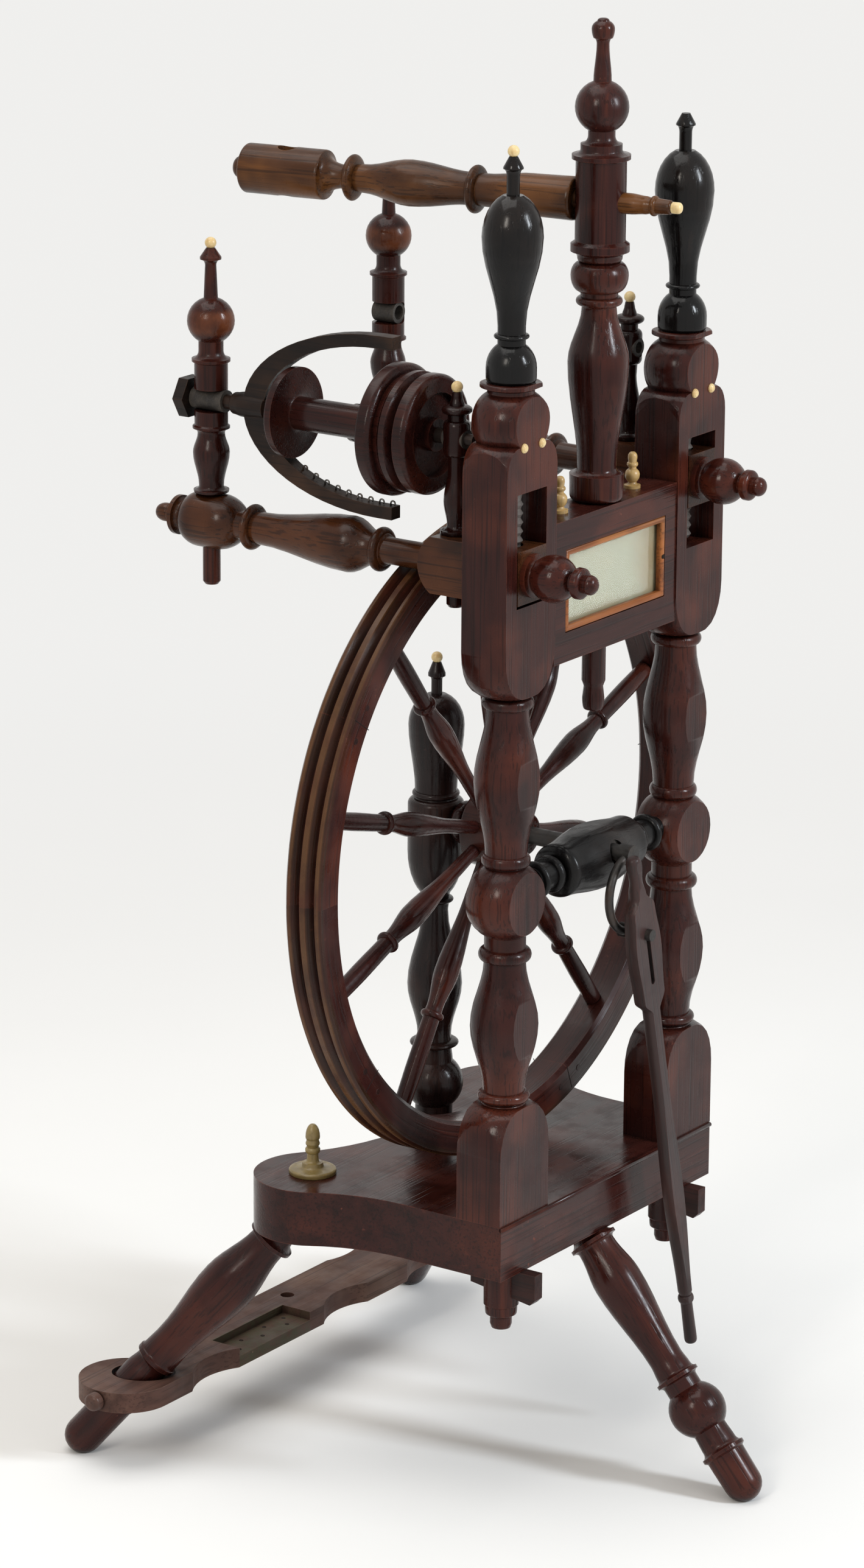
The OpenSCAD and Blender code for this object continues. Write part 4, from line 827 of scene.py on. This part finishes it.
class WHEEL_OT_flyer_hooks(bpy.types.Operator):
    """Bends the wire hooks along the flyer's lower arm"""

    bl_idname = "wheel.flyer_hooks"
    bl_label = "Flyer hooks"

    def execute(self, context):
        wire = detail().hook_wire
        bm = bmesh.new()
        low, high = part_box("orifice")
        axis_z = low.z / 2 + high.z / 2
        for index in range(HOOKS):
            along = FIRST_HOOK + index * HOOK_RUN / (HOOKS - 1)
            part = 1 - min((along - FLYER_CROWN) / FLYER_BOW, 1.0)
            foot = axis_z - FLYER_REACH * math.sqrt(1 - part * part)
            start = Matrix.Translation((FLYER_X, FLYER_APEX_Y - along, foot - HOOK_SUNK))
            ring = bmesh.ops.create_circle(bm, cap_ends=True, segments=8, radius=wire, matrix=start)["verts"]
            up = bmesh.ops.extrude_face_region(bm, geom=[ring[0].link_faces[0]])["geom"]
            bmesh.ops.translate(bm, verts=of_type(up, bmesh.types.BMVert), vec=(0, 0, HOOK_SHANK))
            centre = Vector((FLYER_X, FLYER_APEX_Y - along - HOOK_BEND, foot - HOOK_SUNK + HOOK_SHANK))
            bmesh.ops.spin(bm, geom=of_type(up, bmesh.types.BMFace), cent=centre, axis=(1, 0, 0),
                           angle=math.radians(220), steps=9)
        bmesh.ops.remove_doubles(bm, verts=bm.verts, dist=WELD)
        material = iron_material("hook wire", (0.16, 0.15, 0.14), (0.06, 0.04, 0.03), 0.3, 0.55)
        hooks = new_piece("wire_hooks", bm, material, "flyer")
        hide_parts("flyer_hooks")
        return {"FINISHED"}


class WHEEL_OT_rim_joints(bpy.types.Operator):
    """Lays the dark joint lines and pegs of the rim"""

    bl_idname = "wheel.rim_joints"
    bl_label = "Rim joints"

    def execute(self, context):
        gap = detail().joint_gap
        radius = detail().peg_radius
        line = bmesh.new()
        pegs = bmesh.new()
        for index in range(FELLOES):
            turn = math.radians(FIRST_JOINT + 360 / FELLOES * index)
            place = Matrix.Translation(AXLE) @ Matrix.Rotation(-turn, 4, "Y")
            for face in (-1, 1):
                spot = place @ Matrix.Translation((JOINT_RADIUS, face * RIM_HALF_WIDTH, 0))
                slab = bmesh.ops.create_cube(line, size=1.0, matrix=spot @ Matrix.Diagonal(
                    (JOINT_LENGTH, JOINT_HEIGHT, gap, 1)))["verts"]
                bevel_edges(line, list({e for v in slab for e in v.link_edges}), 0.00005, 1)
                for side in (-1, 1):
                    spot = place @ Matrix.Rotation(side * PEG_TURN, 4, "Y") @ Matrix.Translation(
                        (PEG_RING, face * (RIM_HALF_WIDTH - PEG_SUNK), 0))
                    bmesh.ops.create_cone(
                        pegs, cap_ends=True, segments=14, radius1=radius, radius2=0.82 * radius,
                        depth=PEG_HEIGHT, matrix=spot @ Matrix.Rotation(-face * math.pi / 2, 4, "X"))
        red, _brown, black = woods()
        dark = wood_material("joint shadow", black, "rim", 0.2, 0.6, 0.0)
        new_piece("rim_joint_lines", line, dark, "wheel", smooth=False)
        peg = wood_material("peg wood", scaled(red, 0.6), "y", 0.3, 0.42, 0.1)
        new_piece("rim_pegs", pegs, peg, "wheel", smooth=False)
        return {"FINISHED"}


class WHEEL_OT_board_bead(bpy.types.Operator):
    """Runs the small bead along the board's front edge"""

    bl_idname = "wheel.board_bead"
    bl_label = "Board bead"

    def execute(self, context):
        radius = detail().edge_bead
        low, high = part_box("board")
        bm = bmesh.new()
        left = Matrix.Translation((-BEAD_HALF, low.y, high.z - radius))
        start = left @ Matrix.Rotation(math.pi / 2, 4, "Y")
        ring = bmesh.ops.create_circle(bm, cap_ends=True, segments=12, radius=radius, matrix=start)["verts"]
        run = bmesh.ops.extrude_face_region(bm, geom=[ring[0].link_faces[0]])["geom"]
        bmesh.ops.translate(bm, verts=of_type(run, bmesh.types.BMVert), vec=(2 * BEAD_HALF, 0, 0))
        red, _brown, _black = woods()
        wood = wood_material("edge bead wood", red, "x", 0.6)
        new_piece("board_edge_bead", bm, wood, "stand")
        return {"FINISHED"}


def seen_by_camera(tree):
    """1 for a ray that shows a background, straight, in a shine or through glass."""
    path = tree.add("ShaderNodeLightPath").outputs
    seen = tree.math("MAXIMUM", path["Is Camera Ray"], path["Is Glossy Ray"])
    return tree.math("MAXIMUM", seen, path["Is Transmission Ray"])


class WHEEL_OT_stage(bpy.types.Operator):
    """Sets the floor, the lights and the camera"""

    bl_idname = "wheel.stage"
    bl_label = "Stage"

    def execute(self, context):
        scene = context.scene
        setting = scene.wheel_stage
        scene.view_settings.view_transform = "Standard"

        bm = bmesh.new()
        bmesh.ops.create_circle(bm, cap_ends=True, segments=64, radius=40.0)
        mesh = bpy.data.meshes.new("floor")
        bm.to_mesh(mesh)
        bm.free()
        floor = bpy.data.objects.new("floor", mesh)
        scene.collection.objects.link(floor)
        material, tree, shader, place = new_material("pale floor")
        cloud = tree.noise(place, 1.6, 4.0, 0.5)
        tone = tree.mix(tree.ramp(cloud, 0.3, 0.7), rgba(setting.floor), (0.89, 0.885, 0.87, 1))
        tree.link(tone, shader, "Base Color")
        shader.inputs["Roughness"].default_value = 0.85
        # Far off the floor turns into the plain pale ground that the camera sees
        away = tree.length(place)
        ground = tree.add("ShaderNodeEmission", {"Color": rgba(setting.ground), "Strength": 1.0}).outputs[0]
        blend = tree.add("ShaderNodeMixShader", {
            0: tree.math("MULTIPLY", tree.ramp(away, 0.45, 2.2), seen_by_camera(tree)),
            1: shader.outputs[0], 2: ground}).outputs[0]
        tree.link(blend, material.node_tree.nodes["Material Output"], "Surface")
        mesh.materials.append(material)

        world = bpy.data.worlds.new("studio")
        world.use_nodes = True
        scene.world = world
        air = Tree(world.node_tree)
        background = world.node_tree.nodes["Background"]
        seen = seen_by_camera(air)
        air.link(air.mix(seen, (1.0, 0.985, 0.96, 1), rgba(setting.ground)), background, "Color")
        air.link(air.ramp(seen, 0.0, 1.0, setting.sky, 1.0), background, "Strength")

        def area(name, place, aim, size, power, tone):
            lamp = bpy.data.lights.new(name, "AREA")
            lamp.shape = "RECTANGLE"
            lamp.size, lamp.size_y = size
            lamp.energy = power
            lamp.color = tone
            item = bpy.data.objects.new(name, lamp)
            item.location = place
            item.rotation_euler = (Vector(aim) - Vector(place)).to_track_quat("-Z", "Y").to_euler()
            scene.collection.objects.link(item)

        area("window", (0.6, -3.2, 2.2), (0, 0, 0.5), (0.5, 1.3), setting.window_power, (0.86, 0.93, 1.0))
        area("lamp", (-3.6, -0.4, 2.6), (0, 0, 0.5), (0.8, 1.3), setting.lamp_power, (1.0, 0.93, 0.84))
        area("ceiling", (-0.4, 0.6, 4.0), (0, 0, 0.3), (3.0, 3.0), setting.ceiling_power, (1.0, 0.98, 0.95))

        turn, lift, roll = (math.radians(a) for a in CAMERA_ANGLES)
        back = Vector((math.sin(turn) * math.cos(lift), -math.cos(turn) * math.cos(lift), math.sin(lift)))
        level = (-back).cross(Vector((0, 0, 1))).normalized()
        rise = level.cross(-back)
        right = math.cos(roll) * level + math.sin(roll) * rise
        up = -math.sin(roll) * level + math.cos(roll) * rise
        lens = bpy.data.cameras.new("camera")
        lens.lens = FOCAL_PIXELS / IMAGE_HEIGHT * SENSOR
        lens.sensor_width = SENSOR
        lens.clip_end = 200
        camera = bpy.data.objects.new("camera", lens)
        frame = Matrix((right, up, back)).transposed().to_4x4()
        camera.matrix_world = Matrix.Translation(CAMERA_PLACE) @ frame
        scene.collection.objects.link(camera)
        scene.camera = camera
        return {"FINISHED"}


OPERATORS = (
    WHEEL_OT_polished_wood, WHEEL_OT_brown_wood, WHEEL_OT_black_wood, WHEEL_OT_bone_trim, WHEEL_OT_label,
    WHEEL_OT_moulding, WHEEL_OT_iron, WHEEL_OT_treadle, WHEEL_OT_nail_holes, WHEEL_OT_flyer_hooks,
    WHEEL_OT_rim_joints, WHEEL_OT_board_bead, WHEEL_OT_stage,
)


class WHEEL_PT_panel(bpy.types.Panel):
    """Lists the steps that dress the spinning wheel"""

    bl_idname = "WHEEL_PT_panel"
    bl_label = "Spinning wheel"
    bl_space_type = "VIEW_3D"
    bl_region_type = "UI"
    bl_category = "Spinning wheel"

    def draw(self, context):
        for step in OPERATORS:
            self.layout.operator(step.bl_idname)


CLASSES = (FinishSettings, DetailSettings, StageSettings, *OPERATORS, WHEEL_PT_panel)


def register():
    for item in CLASSES:
        bpy.utils.register_class(item)
    bpy.types.Scene.wheel_finish = bpy.props.PointerProperty(type=FinishSettings)
    bpy.types.Scene.wheel_detail = bpy.props.PointerProperty(type=DetailSettings)
    bpy.types.Scene.wheel_stage = bpy.props.PointerProperty(type=StageSettings)


def unregister():
    del bpy.types.Scene.wheel_stage
    del bpy.types.Scene.wheel_detail
    del bpy.types.Scene.wheel_finish
    for item in reversed(CLASSES):
        bpy.utils.unregister_class(item)


def main():
    register()
    bpy.ops.wheel.polished_wood()
    bpy.ops.wheel.brown_wood()
    bpy.ops.wheel.black_wood()
    bpy.ops.wheel.bone_trim()
    bpy.ops.wheel.label()
    bpy.ops.wheel.moulding()
    bpy.ops.wheel.iron()
    bpy.ops.wheel.treadle()
    bpy.ops.wheel.nail_holes()
    bpy.ops.wheel.flyer_hooks()
    bpy.ops.wheel.rim_joints()
    bpy.ops.wheel.board_bead()
    bpy.ops.wheel.stage()


if __name__ == "__main__":
    main()
